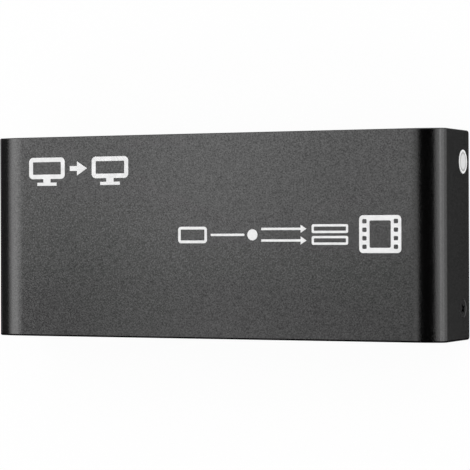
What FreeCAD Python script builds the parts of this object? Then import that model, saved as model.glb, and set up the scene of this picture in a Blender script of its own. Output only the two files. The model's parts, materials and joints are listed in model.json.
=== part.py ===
import FreeCAD, Part
import math
import os
import re

import Sketcher

# A two-way video splitter in a flat metal box, lying on its rubber feet with the printed
# face up. The origin is on the ground under the middle of the box. X runs along the long
# side, Y from the lamp panel at the front to the socket panel at the rear, Z up.
# Lengths are in millimetres and angles in degrees.

SIZES = {
    # Box
    "case_width": 108.0,
    "case_depth": 45.0,
    "case_height": 17.0,
    # Folded cover: the ends curve over a wide crown arc and a tight edge arc
    "cover_wall": 1.2,
    "corner_crown_radius": 16.0,
    "corner_edge_radius": 1.8,
    "corner_crown_angle": 22.0,
    "cut_edge_chamfer": 0.2,
    # Folded tray: floor, front and rear panels, four side tabs
    "tray_wall": 1.0,
    "tray_bend_radius": 1.4,
    "tray_clearance": 0.15,
    "panel_inset": 0.8,
    "tab_width": 9.0,
    "tab_height": 6.4,
    "tab_corner_radius": 1.5,
    # Screws
    "screw_diameter": 2.0,
    "screw_head_diameter": 3.8,
    "screw_hole_clearance": 0.2,
    "thread_clearance": 0.05,
    "head_cone_angle": 90.0,
    "head_sink": 0.05,
    "cover_screw_length": 3.0,
    "cover_screw_inset": 6.8,
    "cover_screw_height": 4.0,
    "board_screw_length": 4.2,
    "board_screw_head": 1.3,
    "recess_span": 2.1,
    "recess_width": 0.5,
    "recess_depth": 0.7,
    # Round paper seal over one cover screw
    "seal_diameter": 5.1,
    "seal_wall": 0.1,
    # Rubber feet
    "foot_diameter": 8.0,
    "foot_height": 1.5,
    "foot_edge": 0.4,
    "foot_inset_across": 14.0,
    "foot_inset_along": 8.0,
    # Board and its standoffs
    "board_wall": 1.6,
    "board_end_gap": 1.7,
    "board_panel_gap": 0.5,
    "board_corner_radius": 1.0,
    "board_hole_inset_across": 3.0,
    "board_hole_inset_along": 4.2,
    "standoff_diameter": 5.0,
    "standoff_height": 1.8,
    "spigot_diameter": 3.4,
    "press_clearance": 0.02,
    # Picture sockets. Every share here and below is a place across the box, measured from its
    # middle, over the box's whole width
    "input_share": -0.138,
    "output_one_share": 0.074,
    "output_two_share": 0.286,
    "shell_width": 14.7,
    "shell_height": 5.25,
    "shell_side": 2.7,
    "shell_foot_width": 10.8,
    "shell_wall": 0.35,
    "shell_corner_radius": 0.9,
    "shell_depth": 11.5,
    "shell_reach": 0.5,
    "flare": 0.4,
    "flare_wall": 0.6,
    "port_clearance": 0.3,
    "port_corner_radius": 1.3,
    "leg_width": 1.4,
    "leg_first": 3.6,
    "leg_second": 9.2,
    "leg_reach": 0.6,
    "slot_clearance": 0.2,
    "insulator_clearance": 0.05,
    "socket_cavity": 8.2,
    "tongue_width": 10.6,
    "tongue_wall": 1.2,
    "tongue_height": 2.75,
    "tongue_recess": 1.3,
    "contact_pitch": 1.0,
    "contact_width": 0.3,
    "contact_wall": 0.15,
    "contact_clearance": 0.02,
    "contact_setback": 0.4,
    "upper_contacts": 10,
    "lower_contacts": 9,
    "upper_tail": 1.0,
    "lower_tail": 0.4,
    "tail_foot": 0.8,
    # Power jack
    "jack_share": -0.35,
    "jack_width": 9.0,
    "jack_height": 11.0,
    "jack_depth": 14.2,
    "jack_axis_height": 6.5,
    "jack_nose_diameter": 7.8,
    "jack_nose_length": 1.3,
    "jack_nose_edge": 0.3,
    "jack_bore_diameter": 6.3,
    "jack_bore_depth": 9.5,
    "jack_hole_clearance": 0.3,
    "jack_pin_diameter": 2.0,
    "jack_pin_setback": 1.0,
    "jack_terminal_width": 3.0,
    "jack_terminal_wall": 0.6,
    "jack_window_width": 3.0,
    "jack_window_front": 2.4,
    "jack_window_back": 12.6,
    "jack_spring_wall": 0.3,
    "jack_spring_width": 2.4,
    "jack_spring_bite": 0.8,
    "jack_spring_peak": 5.8,
    "jack_spring_end_gap": 1.0,
    "terminal_reach": 0.8,
    # Indicator lamps
    "lamp_diameter": 3.0,
    "lamp_flange_diameter": 3.8,
    "lamp_flange_wall": 1.0,
    "lamp_length": 5.4,
    "lamp_reach": 0.7,
    "lamp_hole_clearance": 0.15,
    "lamp_height": 3.6,
    "lead_wall": 0.45,
    "lead_pitch": 2.54,
    "lead_run": 2.0,
    "lead_hole_diameter": 0.9,
    # Splitter chip, tape and heat sink
    "splitter_share": 0.111,
    "splitter_gap": 1.95,
    "splitter_width": 10.0,
    "chip_height": 1.4,
    "chip_lift": 0.1,
    "chip_mark_diameter": 0.9,
    "chip_mark_depth": 0.1,
    "chip_mark_inset": 1.3,
    "splitter_pins": 16,
    "splitter_pitch": 0.5,
    "fine_pin_width": 0.22,
    "pin_wall": 0.15,
    "pin_shoulder": 0.5,
    "pin_foot": 0.5,
    "tape_width": 9.4,
    "tape_wall": 0.2,
    "sink_width": 14.0,
    "sink_floor": 1.5,
    "sink_height": 6.5,
    "fin_wall": 0.9,
    "fin_count": 6,
    # Smaller chips
    "small_chip_height": 1.5,
    "small_chip_width": 3.9,
    "small_pin_width": 0.42,
    "small_pin_pitch": 1.27,
    "controller_share": -0.129,
    "controller_gap": 0.25,
    "controller_length": 9.9,
    "controller_pins": 8,
    "memory_length": 4.9,
    "memory_pins": 4,
    "memory_one_share": -0.018,
    "memory_two_share": 0.24,
    "memory_gap": 0.55,
    # Regulators
    "regulator_length": 6.5,
    "regulator_width": 3.5,
    "regulator_height": 1.6,
    "regulator_pitch": 2.3,
    "regulator_pin_width": 0.7,
    "regulator_pins": 3,
    "regulator_tab_width": 3.0,
    "regulator_one_share": -0.249,
    "regulator_two_share": 0.35,
    "regulator_gap": 0.75,
    # Bulk capacitors
    "can_diameter": 6.3,
    "can_height": 5.4,
    "can_edge": 0.4,
    "can_base_width": 6.6,
    "can_base_height": 0.9,
    "can_one_share": -0.332,
    "can_two_share": -0.249,
    "can_gap": 0.4,
    # Inductor
    "coil_share": -0.346,
    "coil_gap": 1.5,
    "coil_core_diameter": 7.0,
    "coil_core_height": 4.5,
    "coil_flange_wall": 1.0,
    "coil_neck_diameter": 3.4,
    "coil_winding_diameter": 6.4,
    "coil_clearance": 0.05,
    # Crystal
    "crystal_share": -0.129,
    "crystal_gap": 1.6,
    "crystal_length": 11.0,
    "crystal_width": 4.6,
    "crystal_height": 3.4,
    "crystal_base_wall": 0.6,
    "crystal_base_rim": 0.5,
    # Small chip parts
    "chip_part_length": 1.6,
    "chip_part_width": 0.8,
    "chip_capacitor_height": 0.8,
    "chip_resistor_height": 0.45,
    "chip_part_pitch": 2.2,
    "capacitor_row_share": 0.115,
    "capacitor_row_inset": 2.3,
    "capacitor_row_count": 7,
    "capacitor_row_gap": 2.4,
    "capacitor_rows": 2,
    "resistor_row_share": -0.217,
    "resistor_row_gap": 1.1,
    "resistor_row_count": 12,
    "diode_share": -0.401,
    "diode_length": 4.3,
    "diode_width": 2.6,
    "diode_height": 2.1,
    "fuse_share": -0.41,
    "fuse_length": 4.5,
    "fuse_width": 3.2,
    "fuse_height": 0.9,
    "guard_width": 3.0,
    "guard_height": 0.85,
    "guard_gap": 0.8,
    "guard_spread": 7.0,
    "part_edge": 0.25,
}

# Lengths worked out from the sizes above, spelled in full wherever they are used.
WORKED_OUT = {
    "case_low": "foot_height",
    "case_top": "foot_height + case_height",
    "cover_inside": "case_width / 2 - cover_wall",
    "tray_half": "cover_inside - tray_clearance",
    "tray_top": "case_top - cover_wall - tray_clearance",
    "tray_floor": "case_low + tray_wall",
    "panel_face": "case_depth / 2 - panel_inset",
    "panel_back": "panel_face - tray_wall",
    "screw_level": "case_low + cover_screw_height",
    "cover_screw_spread": "case_depth - 2 * cover_screw_inset",
    "board_low": "tray_floor + standoff_height",
    "board_top": "board_low + board_wall",
    "board_half_across": "tray_half - tray_wall - board_end_gap",
    "board_half_along": "panel_back - board_panel_gap",
    "hole_across": "board_half_across - board_hole_inset_across",
    "hole_along": "board_half_along - board_hole_inset_along",
    "screw_hole": "screw_diameter + screw_hole_clearance",
    "thread_hole": "screw_diameter + thread_clearance",
    "head_slope": "(screw_head_diameter - screw_diameter) / 2 / tan(head_cone_angle / 2)",
    "socket_mouth": "panel_face + shell_reach",
    "tongue_top": "tongue_height + tongue_wall / 2",
    "tongue_low": "tongue_height - tongue_wall / 2",
    "upper_back": "shell_depth + upper_tail",
    "lower_back": "shell_depth + lower_tail",
    "jack_back": "jack_depth + jack_terminal_wall",
    "bore_low": "jack_axis_height - jack_bore_diameter / 2",
    "spring_low": "bore_low - 2 * jack_spring_wall",
    "spring_front": "-jack_window_front - jack_spring_end_gap",
    "lamp_tip": "panel_face + lamp_reach",
    "lamp_level": "board_top + lamp_height",
    "lead_back": "lamp_length + lead_run",
    "pin_end": "pin_shoulder + pin_wall + pin_foot",
    "chip_top": "chip_lift + chip_height",
    "sink_low": "chip_top + tape_wall",
    "fin_gap": "(sink_width - fin_wall) / (fin_count - 1)",
    # Places across the box
    "input_place": "input_share * case_width",
    "output_one_place": "output_one_share * case_width",
    "output_two_place": "output_two_share * case_width",
    "jack_place": "jack_share * case_width",
    "splitter_across": "splitter_share * case_width",
    "controller_across": "controller_share * case_width",
    "memory_one_across": "memory_one_share * case_width",
    "memory_two_across": "memory_two_share * case_width",
    "regulator_one_across": "regulator_one_share * case_width",
    "regulator_two_across": "regulator_two_share * case_width",
    "can_one_across": "can_one_share * case_width",
    "can_two_across": "can_two_share * case_width",
    "coil_across": "coil_share * case_width",
    "crystal_across": "crystal_share * case_width",
    "capacitor_row_across": "capacitor_row_share * case_width",
    "resistor_row_across": "resistor_row_share * case_width",
    "diode_across": "diode_share * case_width",
    "fuse_across": "fuse_share * case_width",
    # Places along the box, from the lamps at the front and from the sockets at the rear
    "lead_end": "lead_back - lamp_tip",
    "can_along": "lead_end + can_gap + can_base_width / 2",
    "coil_along": "can_along + can_base_width / 2 + coil_gap + coil_core_diameter / 2",
    "regulator_along": "can_along + can_base_width / 2 + regulator_gap + regulator_length / 2",
    "memory_along": "lead_end + memory_gap + memory_length / 2",
    "capacitor_row_along": "capacitor_row_inset - board_half_along",
    "guard_along": "socket_mouth - upper_back - tail_foot - guard_gap - guard_width / 2",
    "guard_front": "guard_along - guard_width / 2",
    "splitter_along": "guard_front - splitter_gap - pin_end - splitter_width / 2",
    "resistor_row_along": "guard_front - resistor_row_gap - chip_part_length / 2",
    "crystal_half": "crystal_width / 2 + crystal_base_rim",
    "crystal_along": "resistor_row_along - chip_part_length / 2 - crystal_gap - crystal_half",
    "controller_along": "crystal_along - crystal_half - controller_gap - controller_length / 2",
}

SOCKETS = (("hdmi_in", "input_place"), ("hdmi_out_one", "output_one_place"),
           ("hdmi_out_two", "output_two_place"))
LAMPS = (("power_lamp", "jack_place"), ("output_one_lamp", "output_one_place"),
         ("output_two_lamp", "output_two_place"))
BOARD_HOLES = (("-hole_across", "-hole_along"), ("hole_across", "-hole_along"),
               ("-hole_across", "hole_along"), ("hole_across", "hole_along"))

FLAT, FRONT, SIDE = "XY_Plane", "XZ_Plane", "YZ_Plane"

# The angle, in a sketch, of an arc's end that lies straight above its centre
UPWARD = 90

doc = FreeCAD.newDocument("splitter")
sheet = doc.addObject("Spreadsheet::Sheet", "dim")
pieces = []


def fill_sheet():
    """Writes every driving dimension to the sheet, one row each, under its own alias."""
    for row, (name, value) in enumerate(SIZES.items(), 1):
        sheet.set("A%d" % row, name)
        sheet.set("B%d" % row, repr(value))
        sheet.setAlias("B%d" % row, name)
    doc.recompute()


def spell(text):
    """An expression over the sheet's cells from one that uses the plain names."""
    def swap(match):
        word = match.group(0)
        if word in WORKED_OUT:
            return "(" + spell(WORKED_OUT[word]) + ")"
        return "dim." + word if word in SIZES else word
    return re.sub(r"[a-z_]+", swap, text)


def number(text):
    """The value that an expression over the sizes has now."""
    return float(sheet.evalExpression(spell(text)))


def bind(thing, path, text):
    """Ties a property to an expression over the sizes."""
    thing.setExpression(path, spell(text))


def start_body(name, place=("0", "0", "0"), group=False):
    """A new sub-part, placed by three expressions. A group holds several like solids."""
    body = doc.addObject("PartDesign::Body", name)
    body.Label = name
    body.AllowCompound = group
    for axis, text in zip("xyz", place):
        bind(body, "Placement.Base." + axis, text)
    pieces.append(body)
    return body


def origin_item(body, role):
    """One of the planes or axes of a body's own origin."""
    return [item for item in body.Origin.OriginFeatures if item.Role == role][0]


def start_sketch(body, plane, name, offset="0"):
    """A sketch on one of the body's planes, moved along that plane's axis by an offset."""
    sketch = body.newObject("Sketcher::SketchObject", body.Name + "_" + name)
    sketch.AttachmentSupport = (origin_item(body, plane), [""])
    sketch.MapMode = "FlatFace"
    bind(sketch, "AttachmentOffset.Base.z", "-(%s)" % offset if plane == FRONT else offset)
    return sketch


def faces_back(sketch):
    """True for sketches on the front plane, whose normal points to -Y."""
    return sketch.AttachmentSupport[0][0].Role == FRONT


def measure(sketch, kind, text, *ends):
    """A driven distance, radius or angle between the ends given."""
    value = number(text)
    if kind == "Angle":
        value = math.radians(value)
    index = sketch.addConstraint(Sketcher.Constraint(kind, *ends, value))
    bind(sketch, "Constraints[%d]" % index, text)


def pin_point(sketch, piece, end, across, up):
    """Holds one point of the drawing at two distances from the sketch's origin."""
    measure(sketch, "DistanceX", across, -1, 1, piece, end)
    measure(sketch, "DistanceY", up, -1, 1, piece, end)


def draw_polygon(sketch, points):
    """A closed outline of straight lines through points given as pairs of expressions."""
    first = sketch.GeometryCount
    places = [FreeCAD.Vector(number(across), number(up), 0) for across, up in points]
    for start, end in zip(places, places[1:] + places[:1]):
        sketch.addGeometry(Part.LineSegment(start, end))
    for index in range(len(points)):
        after = first + (index + 1) % len(points)
        sketch.addConstraint(Sketcher.Constraint("Coincident", first + index, 2, after, 1))
    for index, (across, up) in enumerate(points):
        pin_point(sketch, first + index, 1, across, up)


def draw_box(sketch, left, right, low, high):
    """A rectangle between four expressions."""
    draw_polygon(sketch, ((left, low), (right, low), (right, high), (left, high)))


def draw_middle_box(sketch, across, up, width, height):
    """A rectangle by its middle and its two sides."""
    draw_box(sketch, "%s - (%s) / 2" % (across, width), "%s + (%s) / 2" % (across, width),
             "%s - (%s) / 2" % (up, height), "%s + (%s) / 2" % (up, height))


def draw_circle(sketch, across, up, diameter):
    """A circle by its centre and its diameter."""
    centre = FreeCAD.Vector(number(across), number(up), 0)
    index = sketch.addGeometry(Part.Circle(centre, FreeCAD.Vector(0, 0, 1), number(diameter) / 2))
    pin_point(sketch, index, 3, across, up)
    measure(sketch, "Diameter", diameter, index)


def arc_between(centre, radius, start, end):
    """An arc by its centre, radius and two angles in degrees, counter-clockwise."""
    circle = Part.Circle(FreeCAD.Vector(*centre, 0), FreeCAD.Vector(0, 0, 1), radius)
    return Part.ArcOfCircle(circle, math.radians(start), math.radians(end))


def join(sketch, first, kind, joints):
    """Joins ends of the drawing: each joint is piece, end, piece, end from the first."""
    for piece, end, other, other_end in joints:
        ends = (first + piece, end, first + other, other_end)
        sketch.addConstraint(Sketcher.Constraint(kind, *ends))


def draw_arch(sketch, half, low, top, crown, edge):
    """The box's end-on outline: flat top, corners of a crown arc and an edge arc, straight
    sides and a flat foot."""
    turn = number("corner_crown_angle")
    side, foot, roof = number(half), number(low), number(top)
    big, small = number(crown), number(edge)
    inset = (big - small) * math.sin(math.radians(turn)) + small
    drop = big - (big - small) * math.cos(math.radians(turn))
    spots = ((inset - side, roof), (side - inset, roof), (side, roof - drop), (side, foot),
             (-side, foot), (-side, roof - drop))
    corners = [FreeCAD.Vector(across, up, 0) for across, up in spots]
    first = sketch.GeometryCount
    sketch.addGeometry(Part.LineSegment(corners[0], corners[1]))
    sketch.addGeometry(arc_between((side - inset, roof - big), big, UPWARD - turn, UPWARD))
    sketch.addGeometry(arc_between((side - small, roof - drop), small, 0, UPWARD - turn))
    sketch.addGeometry(Part.LineSegment(corners[2], corners[3]))
    sketch.addGeometry(Part.LineSegment(corners[3], corners[4]))
    sketch.addGeometry(Part.LineSegment(corners[4], corners[5]))
    sketch.addGeometry(arc_between((small - side, roof - drop), small, UPWARD + turn,
                                   2 * UPWARD))
    sketch.addGeometry(arc_between((inset - side, roof - big), big, UPWARD, UPWARD + turn))
    join(sketch, first, "Tangent", ((0, 2, 1, 2), (1, 1, 2, 2), (2, 1, 3, 1),
                                    (5, 2, 6, 2), (6, 1, 7, 2), (7, 1, 0, 1)))
    join(sketch, first, "Coincident", ((3, 2, 4, 1), (4, 2, 5, 1)))
    for flat in (0, 4):
        sketch.addConstraint(Sketcher.Constraint("Horizontal", first + flat))
    for upright in (3, 5):
        sketch.addConstraint(Sketcher.Constraint("Vertical", first + upright))
    pin_point(sketch, first + 4, 1, half, low)
    measure(sketch, "DistanceX", "-(%s)" % half, -1, 1, first + 4, 2)
    measure(sketch, "DistanceY", top, -1, 1, first, 2)
    for piece, radius in ((1, crown), (2, edge), (6, edge), (7, crown)):
        measure(sketch, "Radius", radius, first + piece)
    for piece in (1, 7):
        measure(sketch, "Angle", "corner_crown_angle", first + piece)


def draw_channel(sketch, half, low, top, wall, bend):
    """A sheet bent up at both ends, seen along its folds. The bend is its outer radius."""
    end, foot, roof = number(half), number(low), number(top)
    sheet_wall, outer = number(wall), number(bend)
    inner = outer - sheet_wall
    middle, knee = end - outer, foot + outer
    lines = {0: (-middle, foot, middle, foot), 2: (end, knee, end, roof),
             3: (end, roof, end - sheet_wall, roof),
             4: (end - sheet_wall, roof, end - sheet_wall, knee),
             6: (middle, foot + sheet_wall, -middle, foot + sheet_wall),
             8: (sheet_wall - end, knee, sheet_wall - end, roof),
             9: (sheet_wall - end, roof, -end, roof), 10: (-end, roof, -end, knee)}
    arcs = {1: (middle, outer, 270, 360), 5: (middle, inner, 270, 360),
            7: (-middle, inner, 180, 270), 11: (-middle, outer, 180, 270)}
    first = sketch.GeometryCount
    for index in range(12):
        if index in lines:
            left, down, right, up = lines[index]
            ends = (FreeCAD.Vector(left, down, 0), FreeCAD.Vector(right, up, 0))
            sketch.addGeometry(Part.LineSegment(*ends))
        else:
            across, radius, start, stop = arcs[index]
            sketch.addGeometry(arc_between((across, knee), radius, start, stop))
    join(sketch, first, "Tangent", ((0, 2, 1, 1), (1, 2, 2, 1), (4, 2, 5, 2), (5, 1, 6, 1),
                                    (6, 2, 7, 2), (7, 1, 8, 1), (10, 2, 11, 1), (11, 2, 0, 1)))
    join(sketch, first, "Coincident", ((2, 2, 3, 1), (3, 2, 4, 1), (8, 2, 9, 1), (9, 2, 10, 1),
                                       (1, 3, 5, 3), (11, 3, 7, 3)))
    for flat in (0, 3, 6, 9):
        sketch.addConstraint(Sketcher.Constraint("Horizontal", first + flat))
    for upright in (2, 4, 8, 10):
        sketch.addConstraint(Sketcher.Constraint("Vertical", first + upright))
    pin_point(sketch, first + 2, 2, half, top)
    pin_point(sketch, first + 10, 1, "-(%s)" % half, top)
    measure(sketch, "DistanceY", low, -1, 1, first, 1)
    measure(sketch, "Radius", bend, first + 1)
    measure(sketch, "Radius", bend, first + 11)
    measure(sketch, "Radius", "(%s) - (%s)" % (bend, wall), first + 5)


def draw_socket(sketch, across, low, grow):
    """The outline of a picture socket: wide at the top, its lower corners drawn in. The
    outline grows by the same distance on every side."""
    wide = "(shell_width / 2 + %s)" % grow
    narrow = "(shell_foot_width / 2 + %s)" % grow
    knee = "%s + shell_height - shell_side" % low
    draw_polygon(sketch, (("%s - %s" % (across, narrow), "%s - %s" % (low, grow)),
                          ("%s + %s" % (across, narrow), "%s - %s" % (low, grow)),
                          ("%s + %s" % (across, wide), knee),
                          ("%s + %s" % (across, wide), "%s + shell_height + %s" % (low, grow)),
                          ("%s - %s" % (across, wide), "%s + shell_height + %s" % (low, grow)),
                          ("%s - %s" % (across, wide), knee)))


def pad(sketch, length, towards=1, both=False):
    """Grows a sketch towards the positive or negative side of its plane, or to both."""
    body = sketch.getParentGeoFeatureGroup()
    feature = body.newObject("PartDesign::Pad", sketch.Name + "_pad")
    feature.Profile = sketch
    bind(feature, "Length", length)
    feature.Reversed = (towards < 0) != faces_back(sketch)
    feature.SideType = "Symmetric" if both else "One side"
    doc.recompute()
    return feature


def cut(sketch, length, towards=1, both=False):
    """Cuts a sketch out of its body, and makes sure that something was cut."""
    body = sketch.getParentGeoFeatureGroup()
    before = body.Shape.Volume
    feature = body.newObject("PartDesign::Pocket", sketch.Name + "_cut")
    feature.Profile = sketch
    bind(feature, "Length", length)
    feature.Reversed = (towards > 0) != faces_back(sketch)
    feature.SideType = "Symmetric" if both else "One side"
    doc.recompute()
    if not feature.Shape.Volume < before:
        raise ValueError(feature.Name + " cuts nothing")
    return feature


def spin(sketch, axis):
    """Turns a sketch all the way round one of its own two axes."""
    body = sketch.getParentGeoFeatureGroup()
    feature = body.newObject("PartDesign::Revolution", sketch.Name + "_spin")
    feature.Profile = sketch
    feature.ReferenceAxis = (sketch, [axis])
    feature.Angle = 360
    doc.recompute()
    return feature


def mirror(body, features, plane):
    """Repeats features on the other side of one of the body's planes."""
    twin = body.newObject("PartDesign::Mirrored", body.Name + "_twin")
    twin.Originals = features
    twin.MirrorPlane = (origin_item(body, plane), [""])
    body.Tip = twin
    doc.recompute()
    return twin


def row_step(body, axis, spacing, count):
    """One step of a repeat: copies in a row along an axis."""
    step = doc.addObject("PartDesign::LinearPattern", body.Name + "_row")
    step.Direction = (origin_item(body, axis), [""])
    bind(step, "Length", "(%s) * (%s - 1)" % (spacing, count))
    bind(step, "Occurrences", count)
    return step


def round_step(body, count):
    """One step of a repeat: copies round the body's upright axis."""
    step = doc.addObject("PartDesign::PolarPattern", body.Name + "_round")
    step.Axis = (origin_item(body, "Z_Axis"), [""])
    step.Angle = 360
    step.Occurrences = count
    return step


def mirror_step(body, plane):
    """One step of a repeat: a copy on the other side of a plane."""
    step = doc.addObject("PartDesign::Mirrored", body.Name + "_side")
    step.MirrorPlane = (origin_item(body, plane), [""])
    return step


def repeat(body, features, steps):
    """Repeats features by every step in turn."""
    feature = body.newObject("PartDesign::MultiTransform", body.Name + "_set")
    feature.Originals = features
    feature.Transformations = steps
    body.Tip = feature
    doc.recompute()
    return feature


def soften(kind, body, size, belongs):
    """Rounds or chamfers the edges of the body for which a test on the edge holds."""
    tip = body.Tip
    edges = tip.Shape.Edges
    names = ["Edge%d" % (index + 1) for index, edge in enumerate(edges) if belongs(edge)]
    feature = body.newObject("PartDesign::" + kind, body.Name + "_" + kind.lower())
    feature.Base = (tip, names)
    bind(feature, "Radius" if kind == "Fillet" else "Size", size)
    doc.recompute()
    return feature


def edge_spans(edge):
    """The lowest and highest corners of an edge's box."""
    box = edge.BoundBox
    return (box.XMin, box.YMin, box.ZMin), (box.XMax, box.YMax, box.ZMax)


def lies_at(edge, axis, place):
    """True for an edge that lies in the plane at a place along an axis."""
    low, high = edge_spans(edge)
    return abs(low[axis] - place) < 0.001 and abs(high[axis] - place) < 0.001


def runs_along(edge, axis):
    """True for a straight edge along one axis."""
    low, high = edge_spans(edge)
    spans = [high[index] - low[index] for index in range(3)]
    return spans.pop(axis) > 0.001 and max(spans) < 0.001


def cross_points(across, up):
    """The corners of the cross recess in a screw head."""
    arm, slim = "recess_span / 2", "recess_width / 2"
    turns = ((arm, slim), (slim, slim), (slim, arm), ("-" + slim, arm), ("-" + slim, slim),
             ("-" + arm, slim), ("-" + arm, "-" + slim), ("-" + slim, "-" + slim),
             ("-" + slim, "-" + arm), (slim, "-" + arm), (slim, "-" + slim), (arm, "-" + slim))
    return tuple(("%s + %s" % (across, one), "%s + %s" % (up, other)) for one, other in turns)


def make_cover():
    """The folded cover: top and both end walls, with countersunk screw holes in the walls."""
    body = start_body("top_cover")
    outside = start_sketch(body, FRONT, "outside")
    draw_arch(outside, "case_width / 2", "case_low", "case_top",
              "corner_crown_radius", "corner_edge_radius")
    pad(outside, "case_depth", both=True)
    inside = start_sketch(body, FRONT, "inside")
    draw_arch(inside, "cover_inside", "case_low - cover_wall", "case_top - cover_wall",
              "corner_crown_radius - cover_wall", "corner_edge_radius - cover_wall")
    cut(inside, "case_depth", both=True)
    holes = start_sketch(body, SIDE, "screws", "case_width / 2")
    for side in ("-", ""):
        draw_circle(holes, side + "cover_screw_spread / 2", "screw_level", "screw_hole")
    doc.recompute()
    hole = body.newObject("PartDesign::Hole", "top_cover_holes")
    hole.Profile = holes
    hole.ThreadType = "None"
    hole.DepthType = "Dimension"
    hole.DrillPoint = "Flat"
    bind(hole, "Diameter", "screw_hole")
    bind(hole, "Depth", "cover_wall * 2")
    hole.HoleCutType = "Countersink"
    hole.HoleCutCustomValues = True
    bind(hole, "HoleCutCountersinkAngle", "head_cone_angle")
    bind(hole, "HoleCutDiameter", "screw_head_diameter + screw_hole_clearance")
    doc.recompute()
    mirror(body, [hole], SIDE)
    end = number("case_depth / 2")
    soften("Chamfer", body, "cut_edge_chamfer",
           lambda edge: lies_at(edge, 1, end) or lies_at(edge, 1, -end))


def make_tray():
    """The folded tray: floor, front and rear panels trimmed to the cover, and side tabs."""
    body = start_body("base_tray")
    profile = start_sketch(body, SIDE, "profile")
    draw_channel(profile, "panel_face", "case_low", "tray_top", "tray_wall", "tray_bend_radius")
    pad(profile, "2 * tray_half", both=True)
    trim = start_sketch(body, FRONT, "trim")
    draw_arch(trim, "tray_half", "case_low - tray_wall", "tray_top",
              "corner_crown_radius - cover_wall - tray_clearance",
              "corner_edge_radius - cover_wall - tray_clearance")
    draw_box(trim, "-tray_half - tray_wall", "tray_half + tray_wall",
             "case_low - 2 * tray_wall", "tray_top + tray_wall")
    cut(trim, "case_depth", both=True)
    tabs = start_sketch(body, SIDE, "tabs", "tray_half")
    taps = start_sketch(body, SIDE, "taps", "tray_half")
    for side in ("-", ""):
        middle = side + "cover_screw_spread / 2"
        draw_box(tabs, middle + " - tab_width / 2", middle + " + tab_width / 2",
                 "case_low", "case_low + tab_height")
        draw_circle(taps, middle, "screw_level", "thread_hole")
    tab_pad = pad(tabs, "tray_wall", towards=-1)
    tap_cut = cut(taps, "tray_wall", towards=-1)
    mirror(body, [tab_pad, tap_cut], SIDE)
    ports = start_sketch(body, FRONT, "ports", "panel_face + tray_wall")
    for _, place in SOCKETS:
        draw_socket(ports, place, "board_top", "(flare + port_clearance)")
    draw_circle(ports, "jack_place", "board_top + jack_axis_height",
                "jack_nose_diameter + 2 * jack_hole_clearance")
    cut(ports, "3 * tray_wall", towards=-1)
    places = [number(place) for _, place in SOCKETS]
    reach = number("shell_width / 2 + flare + 2 * port_clearance")
    low, high = number("tray_floor"), number("tray_top - tray_wall")

    def is_port_corner(edge):
        start, stop = edge_spans(edge)
        near = any(abs(start[0] - place) < reach for place in places)
        return runs_along(edge, 1) and near and low < start[2] < high and start[1] > 0

    soften("Fillet", body, "port_corner_radius", is_port_corner)
    lamps = start_sketch(body, FRONT, "lamps", "-panel_face - tray_wall")
    for _, place in LAMPS:
        draw_circle(lamps, place, "lamp_level", "lamp_diameter + 2 * lamp_hole_clearance")
    cut(lamps, "3 * tray_wall", towards=1)
    spigots = start_sketch(body, FLAT, "spigots", "case_low - tray_wall")
    for across, along in BOARD_HOLES:
        draw_circle(spigots, across, along, "spigot_diameter + 2 * press_clearance")
    cut(spigots, "2 * tray_wall + tray_wall / 2", towards=1)
    top = number("case_low + tab_height")
    wall = number("tray_wall")
    inner = number("tray_half - tray_wall / 2")

    def is_tab_corner(edge):
        low, high = edge_spans(edge)
        across = high[0] - low[0]
        return lies_at(edge, 2, top) and abs(across - wall) < 0.001 and abs(low[0] + high[0]) > inner

    soften("Fillet", body, "tab_corner_radius", is_tab_corner)


def make_cover_screws():
    """Four countersunk screws through the cover's walls into the tray's tabs."""
    body = start_body("cover_screws", group=True)
    face = "case_width / 2 - head_sink"
    shape = start_sketch(body, FRONT, "shape", "cover_screw_spread / 2")
    bind(shape, "AttachmentOffset.Base.y", "screw_level")
    draw_polygon(shape, ((face, "0"), (face, "screw_head_diameter / 2"),
                         (face + " - head_slope", "screw_diameter / 2"),
                         (face + " - cover_screw_length", "screw_diameter / 2"),
                         (face + " - cover_screw_length", "0")))
    solid = spin(shape, "H_Axis")
    recess = start_sketch(body, SIDE, "recess", face)
    draw_polygon(recess, cross_points("cover_screw_spread / 2", "screw_level"))
    slot = cut(recess, "recess_depth", towards=-1)
    repeat(body, [solid, slot], [mirror_step(body, FRONT), mirror_step(body, SIDE)])


def make_seal():
    """The round paper seal stuck over the rear screw of the right wall."""
    body = start_body("seal_sticker")
    disc = start_sketch(body, SIDE, "disc", "case_width / 2")
    draw_circle(disc, "cover_screw_spread / 2", "screw_level", "seal_diameter")
    pad(disc, "seal_wall")


def make_feet():
    """Four stick-on rubber feet, each with a rounded lower edge."""
    across, along = "(case_width / 2 - foot_inset_across)", "(case_depth / 2 - foot_inset_along)"
    for end, along_sign in (("front", "-"), ("rear", "")):
        for side, across_sign in (("left", "-"), ("right", "")):
            place = (across_sign + across, along_sign + along, "0")
            body = start_body("foot_%s_%s" % (end, side), place)
            disc = start_sketch(body, FLAT, "disc")
            draw_circle(disc, "0", "0", "foot_diameter")
            pad(disc, "foot_height")
            soften("Fillet", body, "foot_edge", lambda edge: lies_at(edge, 2, 0))


def make_standoffs():
    """Four bored standoffs, each with a spigot pressed into the tray's floor."""
    body = start_body("board_standoffs", group=True)
    posts = start_sketch(body, FLAT, "posts", "tray_floor")
    spigots = start_sketch(body, FLAT, "spigots", "case_low")
    bores = start_sketch(body, FLAT, "bores", "case_low")
    for across, along in BOARD_HOLES:
        draw_circle(posts, across, along, "standoff_diameter")
        draw_circle(spigots, across, along, "spigot_diameter")
        draw_circle(bores, across, along, "thread_hole")
    pad(posts, "standoff_height")
    pad(spigots, "tray_wall")
    cut(bores, "tray_wall + standoff_height", towards=1)


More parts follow.
